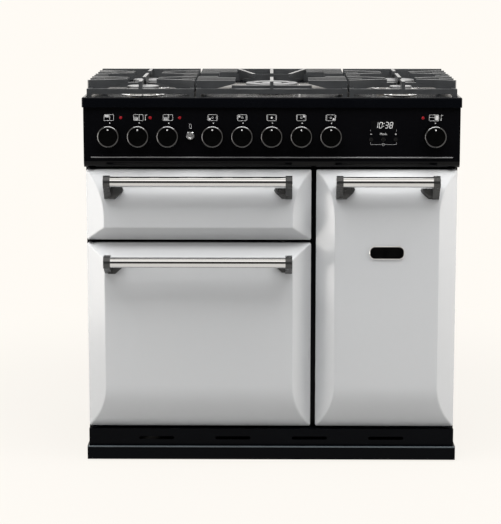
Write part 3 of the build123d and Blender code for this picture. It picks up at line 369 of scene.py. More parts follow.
# %% Enamel finishes
JET, SOFT_JET = (0.0012, 0.0014, 0.0020, 1), (0.0020, 0.0023, 0.0032, 1)
finishes["door_enamel"] = cloudy_finish(
    "pearl_grey_enamel", grey(0.490, -0.012), grey(0.500, -0.010), 3.0, 70.0, (0.25, 0.27), 0.004, 0.0004,
    Coat_Weight=0.20, Coat_Roughness=0.14)
finishes["black_enamel"] = cloudy_finish(
    "black_enamel", JET, SOFT_JET, 7.0, 90.0, (0.16, 0.26), 0.03, 0.0004, Specular_IOR_Level=0.04)
finishes["hob_black"] = cloudy_finish(
    "hob_enamel", JET, SOFT_JET, 7.0, 90.0, (0.14, 0.22), 0.02, 0.0004, Specular_IOR_Level=0.08)
finishes["panel_black"] = cloudy_finish(
    "gloss_black_panel", (0.0015, 0.0015, 0.002, 1), (0.0025, 0.0025, 0.003, 1), 4.0, 60.0, (0.08, 0.15),
    0.02, 0.0004, Specular_IOR_Level=0.12)
finishes["cap_enamel"] = cloudy_finish(
    "grey_cap_enamel", grey(0.12), grey(0.15), 40.0, 400.0, (0.30, 0.42), 0.12, 0.0003,
    Specular_IOR_Level=0.12)


def speckled_finish(name, ground, fleck, scale, size, rough):
    """A dark glaze with pale flecks, rougher where it has been cleaned often."""
    material = cloudy_finish(name, ground, ground, 6.0, 80.0, rough, 0.06, 0.0004)
    tree = material.node_tree
    flecks = tree.nodes.new("ShaderNodeGroup")
    flecks.node_tree = speckle
    flecks.inputs["Fleck"].default_value = fleck
    flecks.inputs["Ground"].default_value = ground
    flecks.inputs["Scale"].default_value = scale
    flecks.inputs["Fleck Size"].default_value = size
    tree.links.new(flecks.outputs["Colour"], tree.nodes["Principled BSDF"].inputs["Base Color"])
    return material


finishes["cavity_enamel"] = speckled_finish(
    "flecked_oven_enamel", (0.012, 0.013, 0.017, 1), (0.13, 0.14, 0.17, 1), 150.0, 0.16, (0.16, 0.30))
finishes["inner_panel"] = speckled_finish(
    "flecked_liner_enamel", (0.010, 0.011, 0.014, 1), (0.09, 0.10, 0.12, 1), 130.0, 0.13, (0.14, 0.26))
print("enamels", [slot for slot in finishes])

# %% [markdown]
# ## Metals
# Chrome is nearly all reflection, so it only needs faint smears in its roughness. Cast iron is dark, dry
# and gritty. Sheet and turned metals show the streaks of the rolls or of the lathe.

# %% Metal finishes
finishes["handle_chrome"] = cloudy_finish(
    "polished_chrome", grey(0.58), grey(0.64), 9.0, 120.0, (0.05, 0.11), 0.02, 0.0002, Metallic=1.0)
finishes["button_chrome"] = cloudy_finish(
    "button_chrome", grey(0.40), grey(0.50), 60.0, 300.0, (0.22, 0.32), 0.03, 0.0001, Metallic=0.85)
finishes["shelf_chrome"] = cloudy_finish(
    "shelf_chrome", grey(0.62), grey(0.76), 20.0, 200.0, (0.14, 0.28), 0.04, 0.0001, Metallic=1.0)
finishes["bracket_grey"] = cloudy_finish(
    "graphite_bracket", grey(0.055), grey(0.075), 30.0, 700.0, (0.24, 0.32), 0.06, 0.0002, Metallic=0.75)
finishes["pan_support_iron"] = cloudy_finish(
    "cast_iron", grey(0.026, -0.04), grey(0.045, -0.04), 45.0, 900.0, (0.28, 0.38), 0.12, 0.0004)
finishes["burner_alloy"] = streaked_finish(
    "turned_alloy", grey(0.66), grey(0.80), (30, 30, 700), (0.16, 0.30), 0.08, 0.0002, Metallic=1.0)
finishes["gas_brass"] = streaked_finish(
    "brass", (0.62, 0.40, 0.13, 1), (0.80, 0.56, 0.22, 1), (40, 40, 500), (0.22, 0.38), 0.10, 0.0002,
    Metallic=1.0)
finishes["galvanised"] = streaked_finish(
    "galvanised_sheet", grey(0.50), grey(0.57, -0.01), (4, 4, 220), (0.36, 0.50), 0.03, 0.0001, Metallic=0.9)
finishes["steel_parts"] = streaked_finish(
    "zinc_plated_steel", grey(0.40), grey(0.56), (200, 30, 30), (0.26, 0.44), 0.08, 0.0002, Metallic=1.0)
finishes["element_steel"] = cloudy_finish(
    "fired_element", (0.050, 0.042, 0.040, 1), (0.10, 0.085, 0.08, 1), 60.0, 500.0, (0.42, 0.60), 0.15,
    0.0002, Metallic=0.4)
print("metals done")

# %% [markdown]
# ## Plastics, rubber and lamps
# The knobs are glossy black, the clock sits behind a dark window, and the oven lamps are red lenses that
# glow when an oven is heating.

# %% Plastic, rubber and lamp finishes
finishes["knob_black"] = cloudy_finish(
    "knob_black", grey(0.001), grey(0.002), 50.0, 500.0, (0.12, 0.22), 0.02, 0.0001,
    Specular_IOR_Level=0.08)
finishes["button_black"] = cloudy_finish(
    "button_black", grey(0.004), grey(0.008), 80.0, 600.0, (0.18, 0.30), 0.04, 0.0001)
finishes["display_black"] = cloudy_finish(
    "display_window", grey(0.0015), grey(0.003), 60.0, 400.0, (0.04, 0.09), 0.01, 0.0001)
finishes["switch_plastic"] = cloudy_finish(
    "switch_plastic", grey(0.50, 0.04), grey(0.58, 0.04), 40.0, 500.0, (0.40, 0.55), 0.08, 0.0002)
finishes["seal_rubber"] = cloudy_finish(
    "seal_braid", grey(0.030), grey(0.055), 60.0, 900.0, (0.62, 0.80), 0.30, 0.0004)
finishes["lamp_red"] = cloudy_finish(
    "lamp_red", (0.17, 0.004, 0.008, 1), (0.22, 0.006, 0.010, 1), 200.0, 900.0, (0.12, 0.22), 0.03, 0.0001,
    Emission_Color=(0.9, 0.02, 0.03, 1), Emission_Strength=0.06)
printed_white = cloudy_finish(
    "printed_white", grey(0.50, 0.01), grey(0.58, 0.01), 300.0, 900.0, (0.35, 0.50), 0.05, 0.0001)
printed_grey = cloudy_finish(
    "printed_grey", grey(0.20), grey(0.28), 300.0, 900.0, (0.35, 0.50), 0.05, 0.0001)
lit_digits = cloudy_finish(
    "lit_digits", grey(0.55, 0.01), grey(0.62, 0.01), 300.0, 900.0, (0.30, 0.40), 0.02, 0.0001,
    Emission_Color=(0.85, 0.87, 0.82, 1), Emission_Strength=0.3)
ceramic = cloudy_finish(
    "igniter_ceramic", grey(0.74, 0.02), grey(0.82, 0.02), 200.0, 900.0, (0.30, 0.45), 0.06, 0.0001)

PAINTED = {"hinge_brackets": "black_enamel", "hob_tray": "hob_black"}
for part in frame["record"]["subparts"]:
    node = nodes[part["node"]]
    for hole in node.material_slots:
        hole.material = finishes[PAINTED.get(part["node"], part["material_slot"])]
print("finishes set on", len(nodes), "nodes")

# %% [markdown]
# ## Working by hand, in code
# Each new piece is made as it would be at the desk: add a primitive, go into edit mode, pick faces or
# edges, shape them, come back out. A few helpers keep that short. Everything is deselected before a new
# primitive is added, because operators act on all that is selected.


# %% Modelling helpers
WELD = 0.000004


def clear_bench():
    """Object mode with nothing selected."""
    if bpy.context.object and bpy.context.object.mode != "OBJECT":
        bpy.ops.object.mode_set(mode="OBJECT")
    bpy.ops.object.select_all(action="DESELECT")


def pick(kind, wanted):
    """Select the open mesh's faces, edges or verts that wanted() says yes to."""
    bpy.ops.mesh.select_all(action="DESELECT")
    mesh = bmesh.from_edit_mesh(bpy.context.object.data)
    for item in getattr(mesh, kind):
        if wanted(item):
            item.select_set(True)
    bmesh.update_edit_mesh(bpy.context.object.data)


def open_mesh(kind="FACE"):
    """Edit mode, picking faces, edges or points."""
    bpy.ops.object.mode_set(mode="EDIT")
    bpy.ops.mesh.select_mode(type=kind)


def close_mesh():
    """Merge doubles, point the faces outwards and leave edit mode."""
    bpy.ops.mesh.select_all(action="SELECT")
    bpy.ops.mesh.remove_doubles(threshold=WELD)
    bpy.ops.mesh.normals_make_consistent(inside=False)
    bpy.ops.object.mode_set(mode="OBJECT")


def settle(piece, name, body, finish, angle=35):
    """Put the place into the mesh, name the piece, give it its finish and its body."""
    clear_bench()
    piece.select_set(True)
    bpy.context.view_layer.objects.active = piece
    bpy.ops.object.transform_apply(location=True, rotation=True, scale=True)
    bpy.ops.object.shade_smooth_by_angle(angle=math.radians(angle))
    piece.name = name
    piece.data.name = name
    piece.data.materials.clear()
    piece.data.materials.append(finish)
    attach(piece, body)
    print(name, "faces", len(piece.data.polygons))
    return piece


def joined(pieces):
    """Several pieces as one mesh."""
    clear_bench()
    for piece in pieces:
        piece.select_set(True)
    bpy.context.view_layer.objects.active = pieces[0]
    if len(pieces) > 1:
        bpy.ops.object.join()
    return bpy.context.object


def twin(piece, shift):
    """A copy with its own mesh, moved by shift."""
    copy = piece.copy()
    copy.data = piece.data.copy()
    copy.data.transform(Matrix.Translation(shift))
    scene.collection.objects.link(copy)
    return copy


def turned(centre, axis, rings, sides=48):
    """A round form drawn ring by ring: each ring is (radius, distance along the axis)."""
    clear_bench()
    axis = Vector(axis)
    centre = Vector(centre)
    lean = Vector((0, 0, 1)).rotation_difference(axis).to_euler()
    radius, along = rings[0]
    bpy.ops.mesh.primitive_circle_add(
        vertices=sides, radius=radius, fill_type="NGON", location=centre + axis * along, rotation=lean)
    piece = bpy.context.object
    open_mesh("FACE")
    bpy.ops.mesh.select_all(action="SELECT")
    for next_radius, next_along in rings[1:]:
        move = axis * (next_along - along)
        bpy.ops.mesh.extrude_region_move(TRANSFORM_OT_translate={"value": move})
        size = next_radius / radius
        bpy.ops.transform.resize(value=(size, size, size), center_override=centre + axis * next_along)
        radius, along = next_radius, next_along
    close_mesh()
    bpy.ops.object.transform_apply(location=True, rotation=True, scale=True)
    return piece


def sector(across, up, steps):
    """Number of the step, out of so many round a circle, that a direction falls in."""
    return int(math.atan2(up, across) / math.tau * steps + 2 * steps)


print("bench ready")

# %% [markdown]
# ## Trim line on the control panel
# A thin bright line runs along the foot of the black panel. On the real one it is a narrow strip set
# into the glass. A cube drawn out to its length, with its front edges bevelled, catches the light in the
# same way as that strip.

# %% Trim strip
panel_low, panel_high = (Vector(corner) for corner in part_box("control_panel"))
PANEL_Y = panel_low.y
TRIM_RISE, TRIM_IN, TRIM_H = 0.0250, 0.0170, 0.0026
TRIM_T, TRIM_PROUD, TRIM_BEVEL = 0.0010, 0.0003, 0.0004
clear_bench()
bpy.ops.mesh.primitive_cube_add(size=1, location=(0, PANEL_Y - TRIM_PROUD, panel_low.z + TRIM_RISE))
trim = bpy.context.object
trim.scale = (panel_high.x - panel_low.x - 2 * TRIM_IN, TRIM_T, TRIM_H)
bpy.ops.object.transform_apply(location=True, rotation=True, scale=True)
open_mesh("EDGE")
pick("edges", lambda edge: all(point.co.y < PANEL_Y - TRIM_PROUD - 0.0001 for point in edge.verts))
bpy.ops.mesh.bevel(offset=TRIM_BEVEL, segments=2)
close_mesh()
trim_finish = streaked_finish(
    "trim_line", grey(0.15), grey(0.19), (8, 300, 300), (0.30, 0.42), 0.05, 0.0001)
settle(trim, "panel_trim_line", "cooker_body", trim_finish)

# %% [markdown]
# ## Rolled edge of the plinth
# The plinth is bent from thin sheet, and its top front edge is rolled over so that it can't cut. The roll
# shows as one pale line under the vent slots. Its colour, far lighter than the plinth's black, is a painted
# highlight. It is a long cube whose front is rounded by a bevel.

# %% Plinth edge
plinth_low, plinth_high = (Vector(corner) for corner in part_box("plinth"))
ROLL_H, ROLL_OUT, ROLL_ROUND, ROLL_PROUD = 0.0034, 0.0016, 0.0015, 0.0002
roll_z = plinth_high.z - ROLL_H / 2 + ROLL_PROUD
clear_bench()
bpy.ops.mesh.primitive_cube_add(size=1, location=(0, plinth_low.y, roll_z))
roll = bpy.context.object
roll.scale = (plinth_high.x - plinth_low.x, 2 * ROLL_OUT, ROLL_H)
bpy.ops.object.transform_apply(location=True, rotation=True, scale=True)
open_mesh("EDGE")
pick("edges", lambda edge: all(point.co.y < plinth_low.y for point in edge.verts))
bpy.ops.mesh.bevel(offset=ROLL_ROUND, segments=4)
close_mesh()
# Painted highlight: this colour is much lighter than the black enamel, so the roll shows the light it
# catches.
roll_highlight_finish = cloudy_finish(
    "worn_black_edge", (0.052, 0.064, 0.072, 1), (0.066, 0.080, 0.088, 1), 30.0, 300.0, (0.34, 0.46), 0.05)
settle(roll, "plinth_rolled_edge", "cooker_body", roll_highlight_finish)

# %% [markdown]
# ## Signs printed on the panel
# Over each knob a small sign says which oven or burner it works. Print has almost no thickness, but it
# needs a little so that it never fights the panel behind it. Each mark starts as a plane or a circle,
# gets its corners rounded or its middle cut out, and all the marks of one sign are joined and drawn out
# by a tenth of a millimetre.

# %% Marks: patches, outlines and spots
PRINT_T = 0.00012
PRINT_GAP = 0.00003


def patch(x, z, wide, high, corner=0.0, line=0.0, lean=0.0, y=PANEL_Y):
    """A flat mark facing the front, with round corners; with a line width only its outline is left."""
    clear_bench()
    bpy.ops.mesh.primitive_plane_add(
        size=1, location=(x, y - PRINT_GAP, z), rotation=(math.pi / 2, lean, 0))
    mark = bpy.context.object
    mark.scale = (wide, high, 1)
    bpy.ops.object.transform_apply(location=True, rotation=True, scale=True)
    open_mesh("VERT")
    bpy.ops.mesh.select_all(action="SELECT")
    if corner:
        bpy.ops.mesh.bevel(offset=corner, segments=4, affect="VERTICES")
    if line:
        bpy.ops.mesh.select_mode(type="FACE")
        bpy.ops.mesh.select_all(action="SELECT")
        bpy.ops.mesh.inset(thickness=line)
        bpy.ops.mesh.delete(type="FACE")
    bpy.ops.object.mode_set(mode="OBJECT")
    return mark


def spot(x, z, radius, line=0.0, y=PANEL_Y, sides=24):
    """A round mark facing the front; with a line width it is a ring."""
    clear_bench()
    bpy.ops.mesh.primitive_circle_add(
        vertices=sides, radius=radius, fill_type="NGON", location=(x, y - PRINT_GAP, z),
        rotation=(math.pi / 2, 0, 0))
    mark = bpy.context.object
    bpy.ops.object.transform_apply(location=True, rotation=True, scale=True)
    if line:
        open_mesh("FACE")
        bpy.ops.mesh.select_all(action="SELECT")
        bpy.ops.mesh.inset(thickness=line)
        bpy.ops.mesh.delete(type="FACE")
        bpy.ops.object.mode_set(mode="OBJECT")
    return mark


def printed(name, marks, body, finish):
    """Join the marks, give them the thickness of a print and let them ride."""
    sign = joined(marks)
    open_mesh("FACE")
    bpy.ops.mesh.select_all(action="SELECT")
    bpy.ops.mesh.extrude_region_move(TRANSFORM_OT_translate={"value": (0, -PRINT_T, 0)})
    close_mesh()
    return settle(sign, name, body, finish)


print("print thickness", PRINT_T)

# %% Where the knobs stand
KNOBS = ["grill_knob", "main_oven_heat_knob", "main_oven_mode_knob", "front_left_knob", "rear_left_knob",
         "wok_knob", "rear_right_knob", "front_right_knob", "tall_oven_knob"]


def middle(node):
    """Middle of a node's box."""
    low, high = (Vector(corner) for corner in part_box(node))
    return (low + high) / 2


knob_x = {name: middle(name).x for name in KNOBS}
KNOB_Z = middle("wok_knob").z
KNOB_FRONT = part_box("wok_knob")[0][1]
print("knobs at", [round(x, 3) for x in knob_x.values()], "height", round(KNOB_Z, 4))

# %% Oven signs: the cooker's front, with one oven filled
SIGN_Z = KNOB_Z + 0.0425
SIGN_W, SIGN_H, SIGN_LINE = 0.0235, 0.0150, 0.0008


def oven_sign(x, filled):
    """Outline of the three ovens with one of them filled in."""
    left = x - SIGN_W / 2
    split = left + 0.58 * SIGN_W
    level = SIGN_Z + 0.06 * SIGN_H
    marks = [patch(x, SIGN_Z, SIGN_W, SIGN_H, 0.0022, SIGN_LINE),
             patch(split, SIGN_Z, SIGN_LINE, SIGN_H - SIGN_LINE),
             patch((left + split) / 2, level, split - left - SIGN_LINE, 0.0007)]
    if filled == "grill":
        marks.append(patch((left + split) / 2, SIGN_Z + 0.0040, 0.0100, 0.0040))
    elif filled == "main":
        marks.append(patch((left + split) / 2, SIGN_Z - 0.0032, 0.0086, 0.0054, 0.0012, 0.0018))
    else:
        marks.append(patch((split + x + SIGN_W / 2) / 2, SIGN_Z, 0.0070, 0.0110))
    return marks


def heat_sign(x):
    """A bulb and stem, for the knob that sets the heat."""
    return [patch(x, SIGN_Z + 0.0005, 0.0009, 0.0120),
            patch(x + 0.0022, SIGN_Z + 0.0060, 0.0042, 0.0009),
            spot(x, SIGN_Z - 0.0052, 0.0014)]


MAIN_HEAT, TALL_HEAT, TALL_ASIDE = 0.0165, 0.0170, 0.0020
main_x, tall_x = knob_x["main_oven_heat_knob"], knob_x["tall_oven_knob"] - TALL_ASIDE
marks = oven_sign(knob_x["grill_knob"], "grill")
marks += oven_sign(main_x, "main") + heat_sign(main_x + MAIN_HEAT)
marks += oven_sign(knob_x["main_oven_mode_knob"], "main")
marks += oven_sign(tall_x, "tall") + heat_sign(tall_x + TALL_HEAT)
printed("oven_signs", marks, "cooker_body", printed_white)

# %% Burner signs: the hob from above, with one burner filled
ACROSS, ALONG, RAIL = 0.0066, 0.0032, 0.0094
BURNER_SPOTS = {"front_left_knob": (-1, -1), "rear_left_knob": (-1, 1), "wok_knob": (0, 0),
                "rear_right_knob": (1, 1), "front_right_knob": (1, -1)}
marks = []
for name, (side, row) in BURNER_SPOTS.items():
    x = knob_x[name]
    marks.append(patch(x, SIGN_Z, SIGN_W, SIGN_H, 0.0034, SIGN_LINE))
    marks.append(spot(x + side * ACROSS, SIGN_Z + row * ALONG, 0.0026))
    if side:
        marks.append(spot(x, SIGN_Z, 0.0024, 0.0006))
    for end_side in (-1, 1):
        marks.append(patch(x + end_side * RAIL, SIGN_Z, 0.0006, SIGN_H - 0.005))
printed("burner_signs", marks, "cooker_body", printed_white)

# %% Off marks above the knobs, and the sign over the light button
LIGHT = middle("light_button")
MARK_Z = KNOB_Z + 0.0295
marks = [spot(x + 0.002, MARK_Z, 0.0014, sides=16) for x in knob_x.values()]
marks += [patch(LIGHT.x, LIGHT.z + 0.0215, 0.0056, 0.0120, 0.0026, 0.0007)]
printed("off_marks", marks, "cooker_body", printed_white)

# %% [markdown]
# ## Clock
# The clock shows the time in slanted seven bar digits. Each bar is a patch with its corners taken off,
# and the slant comes from turning the upright bars and stepping the rows sideways.

# %% Digits
CLOCK = Vector((middle("clock_module").x, 0, KNOB_Z + 0.025))
DIGIT_W, DIGIT_H, BAR = 0.0066, 0.0136, 0.0011
SLANT = math.radians(9)
LIT = {"1": "bc", "0": "abcdef", "3": "abcdg", "8": "abcdefg"}
ROWS = {"a": 1, "g": 0, "d": -1}
UPRIGHTS = {"b": (1, 1), "c": (1, -1), "e": (-1, -1), "f": (-1, 1)}


def digit(x, figure):
    """The lit bars of one figure."""
    bars = []
    for bar in LIT[figure]:
        if bar in ROWS:
            rise = ROWS[bar] * DIGIT_H / 2
            across = x + rise * math.tan(SLANT)
            bars.append(patch(across, CLOCK.z + rise, DIGIT_W - BAR, BAR, 0.0005))
        else:
            side, half = UPRIGHTS[bar]
            rise = half * DIGIT_H / 4
            across = x + side * DIGIT_W / 2 + rise * math.tan(SLANT)
            bars.append(patch(across, CLOCK.z + rise, BAR, DIGIT_H / 2 - 0.0008, 0.0005, lean=SLANT))
    return bars


marks = []
for figure, x in zip("1038", (-0.0170, -0.0065, 0.0075, 0.0180)):
    marks += digit(CLOCK.x + x, figure)
for rise in (-0.0024, 0.0044):
    marks.append(spot(CLOCK.x + 0.0006 + rise * math.tan(SLANT), CLOCK.z + rise, 0.0010, sides=12))
printed("clock_digits", marks, "cooker_body", lit_digits)

# %% Labels and bracket lines of the clock
LABEL_Z = KNOB_Z + 0.0038
BRACKET_Z = KNOB_Z - 0.0210


def label(words, x, z, size):
    """A word as a flat mesh facing the front."""
    clear_bench()
    bpy.ops.object.text_add(location=(x, PANEL_Y - PRINT_GAP, z), rotation=(math.pi / 2, 0, 0))
    text = bpy.context.object
    text.data.body = words
    text.data.size = size
    text.data.align_x = "CENTER"
    text.data.align_y = "CENTER"
    text.data.resolution_u = 3
    bpy.ops.object.convert(target="MESH")
    bpy.ops.object.transform_apply(location=True, rotation=True, scale=True)
    return bpy.context.object


BUTTONS = [middle(f"clock_{kind}_button").x for kind in ("minus", "mode", "plus")]
marks = [label("Mode", BUTTONS[1], LABEL_Z, 0.0074),
         patch(BUTTONS[0], LABEL_Z, 0.0042, 0.0011),
         patch(BUTTONS[2], LABEL_Z, 0.0042, 0.0011),
         patch(BUTTONS[2], LABEL_Z, 0.0011, 0.0042)]
printed("clock_labels", marks, "cooker_body", printed_white)

marks = [patch(CLOCK.x, BRACKET_Z, 0.0610, 0.0008)]
for z, rise in ((CLOCK.z - 0.0145, 0.0040), (BRACKET_Z, 0.0050)):
    for side in (-1, 1):
        marks.append(patch(CLOCK.x + side * 0.0305, z + rise / 2, 0.0008, rise))
marks.append(spot(CLOCK.x, BRACKET_Z, 0.0034, 0.0009))
printed("clock_brackets", marks, "cooker_body", printed_grey)

# %% [markdown]
# ## Knob rims and pointers
# Each knob is black with a narrow bright rim and a white spot that points to its setting. The rim is
# turned ring by ring, as on a lathe, once, and copied to the other knobs. Rim and spot ride with the
# knob, so the spot goes round as it turns.

# %% Knob rims
RIM_R, RIM_IN = 0.0250, 0.0222
POINTER_RISE, POINTER_R, POINTER_SUNK = 0.0165, 0.0019, 0.0005
first = "wok_knob"
rim = turned(
    (knob_x[first], KNOB_FRONT, KNOB_Z), (0, -1, 0),
    [(RIM_IN, -0.0030), (RIM_R + 0.0004, -0.0030), (RIM_R + 0.0004, -0.0013), (RIM_R, -0.0007),
     (RIM_R - 0.0010, 0.0002), (RIM_R - 0.0022, 0.0009), (RIM_IN, 0.0010), (RIM_IN - 0.0003, 0.0002)], 72)
open_mesh("FACE")
pick("faces", lambda face: len(face.verts) > 4)
bpy.ops.mesh.delete(type="FACE")
close_mesh()
dot = spot(knob_x[first], KNOB_Z + POINTER_RISE, POINTER_R, y=KNOB_FRONT + POINTER_SUNK, sides=20)
open_mesh("FACE")
bpy.ops.mesh.select_all(action="SELECT")
bpy.ops.mesh.extrude_region_move(TRANSFORM_OT_translate={"value": (0, -PRINT_T, 0)})
close_mesh()
rim_finish = cloudy_finish(
    "dark_chrome_rim", grey(0.07), grey(0.09), 80.0, 400.0, (0.16, 0.22), 0.03, 0.0001, Metallic=1.0)
for name in KNOBS:
    shift = Vector((knob_x[name] - knob_x[first], 0, 0))
    if name != first:
        settle(twin(rim, shift), name + "_rim", name, rim_finish)
        settle(twin(dot, shift), name + "_pointer", name, printed_white)
settle(rim, first + "_rim", first, rim_finish)
settle(dot, first + "_pointer", first, printed_white)

# %% [markdown]
# ## Light button
# The small round button for the oven light is bright metal with flutes round its edge. It starts as a
# turned disc; every other group of side faces is then drawn inwards.

# %% Fluted button
low, high = (Vector(corner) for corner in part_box("light_button"))
BUTTON_R, REACH = (high.x - low.x) / 2, high.y - low.y
BUTTON_SIDES, FLUTE, FLUTE_DEPTH = 40, 4, 0.0024
button = turned(
    (LIGHT.x, high.y, LIGHT.z), (0, -1, 0),
    [(BUTTON_R * 0.9, 0.0), (BUTTON_R, 0.0003), (BUTTON_R, REACH - 0.0014),
     (BUTTON_R * 0.88, REACH - 0.0002), (BUTTON_R * 0.6, REACH),
     (BUTTON_R * 0.5, REACH - 0.0012), (BUTTON_R * 0.12, REACH - 0.0016)], BUTTON_SIDES)


def in_flute(face):
    """True for the side faces of the button that lie in a flute."""
    centre = face.calc_center_median()
    step = sector(centre.x - LIGHT.x, centre.z - LIGHT.z, BUTTON_SIDES)
    return abs(face.normal.y) < 0.2 and step % (2 * FLUTE) < FLUTE


open_mesh("FACE")
pick("faces", in_flute)
bpy.ops.transform.shrink_fatten(value=-FLUTE_DEPTH)
close_mesh()
settle(button, "light_button_fluted", "light_button", finishes["button_chrome"])
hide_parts("light_button")

# %% [markdown]
# ## Glint on the knobs
# Photographers hang a narrow silk right over a row of knobs, so that each rim carries a bright arc at the
# top and stays dark below. This lamp is linked to the rims and the button alone: it would burn out the
# pale doors.

# %% Silk over the knobs
bright_edges = bpy.data.collections.new("bright_edges")
for name in KNOBS:
    bright_edges.objects.link(bpy.data.objects[name + "_rim"])
bright_edges.objects.link(button)
SILK_OFF = Vector((0, -0.37, 1.76))
knob_row = Vector((0, KNOB_FRONT, KNOB_Z))
silk = soft_box("knob_silk", knob_row + SILK_OFF, knob_row, 2.6, 0.5, 80)
silk.light_linking.receiver_collection = bright_edges

# %% [markdown]
# ## Plain plate
# The tall door carries a small rounded plate at hand height. Here it is left without words: a smooth dark
# field inside a bright rim. The rim slopes outwards, so that it shows the pale room above and below it.

# %% Plate
PLATE_W, PLATE_H, PLATE_T, PLATE_GAP = 0.084, 0.032, 0.0018, 0.0001
RIM_WIDE, RIM_DEEP, LIP, FIELD_T = 0.0018, 0.0014, 0.0006, 0.0003
PLATE_DOWN = 0.1945
PLATE_X = middle("tall_oven_door_skin").x
PLATE_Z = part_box("tall_oven_door_skin")[1][2] - PLATE_DOWN
clear_bench()
bpy.ops.mesh.primitive_plane_add(
    size=1, location=(PLATE_X, FRONT_Y - PLATE_GAP, PLATE_Z), rotation=(math.pi / 2, 0, 0))
plate = bpy.context.object
plate.scale = (PLATE_W, PLATE_H, 1)
bpy.ops.object.transform_apply(location=True, rotation=True, scale=True)
open_mesh("VERT")
bpy.ops.mesh.select_all(action="SELECT")
bpy.ops.mesh.bevel(offset=PLATE_H * 0.42, segments=8, affect="VERTICES")
bpy.ops.mesh.select_mode(type="FACE")
bpy.ops.mesh.select_all(action="SELECT")
bpy.ops.mesh.extrude_region_move(TRANSFORM_OT_translate={"value": (0, -PLATE_T, 0)})
bpy.ops.mesh.inset(thickness=RIM_WIDE, depth=RIM_DEEP)
bpy.ops.mesh.inset(thickness=LIP)
close_mesh()
field = twin(plate, (0, 0, 0))
settle(plate, "plain_plate", "tall_oven_door", finishes["handle_chrome"])
clear_bench()
bpy.context.view_layer.objects.active = field
field.select_set(True)
open_mesh("FACE")
pick("faces", lambda face: not (face.normal.y < -0.9 and len(face.verts) > 8))
bpy.ops.mesh.delete(type="FACE")
pick("faces", lambda face: face.calc_center_median().y > FRONT_Y - PLATE_T)
bpy.ops.mesh.delete(type="FACE")
bpy.ops.mesh.select_all(action="SELECT")
bpy.ops.mesh.extrude_region_move(TRANSFORM_OT_translate={"value": (0, -FIELD_T, 0)})
close_mesh()
settle(field, "plain_plate_field", "tall_oven_door", finishes["knob_black"])

# %% [markdown]
# ## Burners
# A gas burner is a bright alloy cup and head, a brass ring with a row of flame ports, and an enamelled
# cap on top. The cup and head are turned; in the ring, ports are set in one by one by insetting every
# other side face and pressing it inwards. An igniter stands beside each burner.

# %% Burner forms
CUP_DOWN, RING_RISE, RING_T, RING_IN = 0.017, 0.0121, 0.0048, 0.0030
PORTS_PER_METRE, PORT_DEPTH, WOK_INNER_R, WOK_INNER_PORTS = 620, 0.0016, 0.0220, 16
PIN_OFF = Vector((0.0050, 0.012))
CUP_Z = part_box("burner_bodies")[1][2] - CUP_DOWN
HEAD_R = {"front_left": 0.039, "rear_left": 0.039, "wok": 0.064, "rear_right": 0.049, "front_right": 0.027}
flames = {gap["name"]: gap["box_m"] for gap in frame["record"]["physics"]["openings"]}


def burner_place(name):
    """Middle of a burner, from the room that the record keeps for its flame."""
    low, high = (Vector(corner) for corner in flames[f"{name}_flame_gap"])
    return (low + high) / 2


def ported_ring(x, y, radius, low, tall, ports):
    """A brass ring with flame ports pressed into its side."""
    ring = turned((x, y, low), (0, 0, 1),
                  [(radius - 0.004, 0.0), (radius, 0.0), (radius, tall), (radius - 0.004, tall)], ports * 2)

    def is_port(face):
        centre = face.calc_center_median()
        return abs(face.normal.z) < 0.3 and sector(centre.x - x, centre.y - y, ports * 2) % 2 == 0

    open_mesh("FACE")
    pick("faces", is_port)
    bpy.ops.mesh.inset(thickness=radius * 0.012, use_individual=True)
    bpy.ops.transform.shrink_fatten(value=-PORT_DEPTH)
    close_mesh()
    return ring


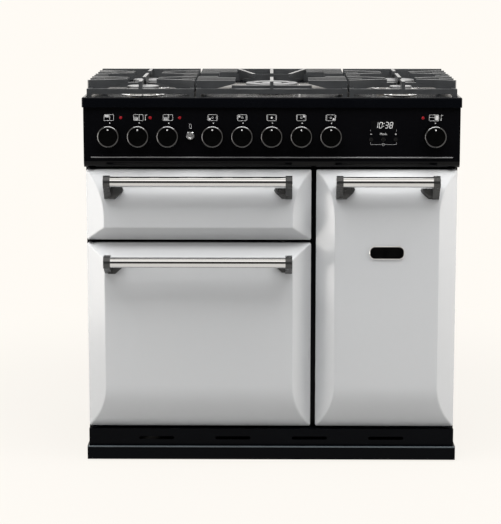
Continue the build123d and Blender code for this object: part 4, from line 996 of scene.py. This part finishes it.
cups, rings, pins = [], [], []
for name, head in HEAD_R.items():
    x, y = burner_place(name).xy
    cups.append(turned(
        (x, y, CUP_Z), (0, 0, 1),
        [(head - 0.008, -0.026), (head - 0.008, 0.0002), (head + 0.0128, 0.0002), (head + 0.0130, 0.0024),
         (head + 0.0120, 0.0030), (head + 0.0060, 0.0016), (head - 0.0020, 0.0022), (head - 0.0055, 0.0040),
         (head - 0.0045, 0.0115), (head - 0.0050, 0.0122)], 64))
    metal = cups if name == "wok" else rings
    ports = int(head * PORTS_PER_METRE)
    metal.append(ported_ring(x, y, head - RING_IN, CUP_Z + RING_RISE, RING_T, ports))
    way = -1 if x <= 0 else 1
    stand = Vector((x - way * (head + PIN_OFF.x), y + PIN_OFF.y, CUP_Z))
    pins.append(turned(stand, (0, 0, 1), [(0.0030, 0.001), (0.0030, 0.007), (0.0022, 0.008),
                                          (0.0022, 0.014), (0.0012, 0.0145), (0.0008, 0.0175)], 16))
wok = burner_place("wok")
cups.append(ported_ring(wok.x, wok.y, WOK_INNER_R, CUP_Z + RING_RISE, RING_T, WOK_INNER_PORTS))
cups = settle(joined(cups), "burner_cups", "cooker_body", finishes["burner_alloy"])
rings = settle(joined(rings), "burner_rings", "cooker_body", finishes["gas_brass"])
settle(joined(pins), "burner_igniters", "cooker_body", ceramic)
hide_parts("burner_bodies")

# %% [markdown]
# ## Screws
# The back panel is held by pan head screws. One is turned and slotted, then copied round the panel.

# %% Back panel screws
low, high = (Vector(corner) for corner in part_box("back_panel"))
SCREW_IN, SLOT_RIM, SLOT_DEPTH = 0.012, 0.0003, 0.0010
THIRDS = (0, 1 / 3, 2 / 3, 1)
screw = turned((low.x + SCREW_IN, high.y, low.z + SCREW_IN), (0, 1, 0),
               [(0.0045, 0.0001), (0.0045, 0.0008), (0.0036, 0.0020), (0.0016, 0.0025)], 24)
open_mesh("FACE")
pick("faces", lambda face: face.normal.y > 0.98 and len(face.verts) > 4)
bpy.ops.mesh.inset(thickness=SLOT_RIM)
bpy.ops.mesh.extrude_region_move(TRANSFORM_OT_translate={"value": (0, -SLOT_DEPTH, 0)})
close_mesh()
screws = []
span = high - low
for across in THIRDS:
    for up in THIRDS:
        if 0 < across < 1 and 0 < up < 1:
            continue
        shift = Vector((across * (span.x - 2 * SCREW_IN), 0, up * (span.z - 2 * SCREW_IN)))
        screws.append(twin(screw, shift))
bpy.data.objects.remove(screw)
settle(joined(screws), "back_panel_screws", "cooker_body", finishes["steel_parts"])
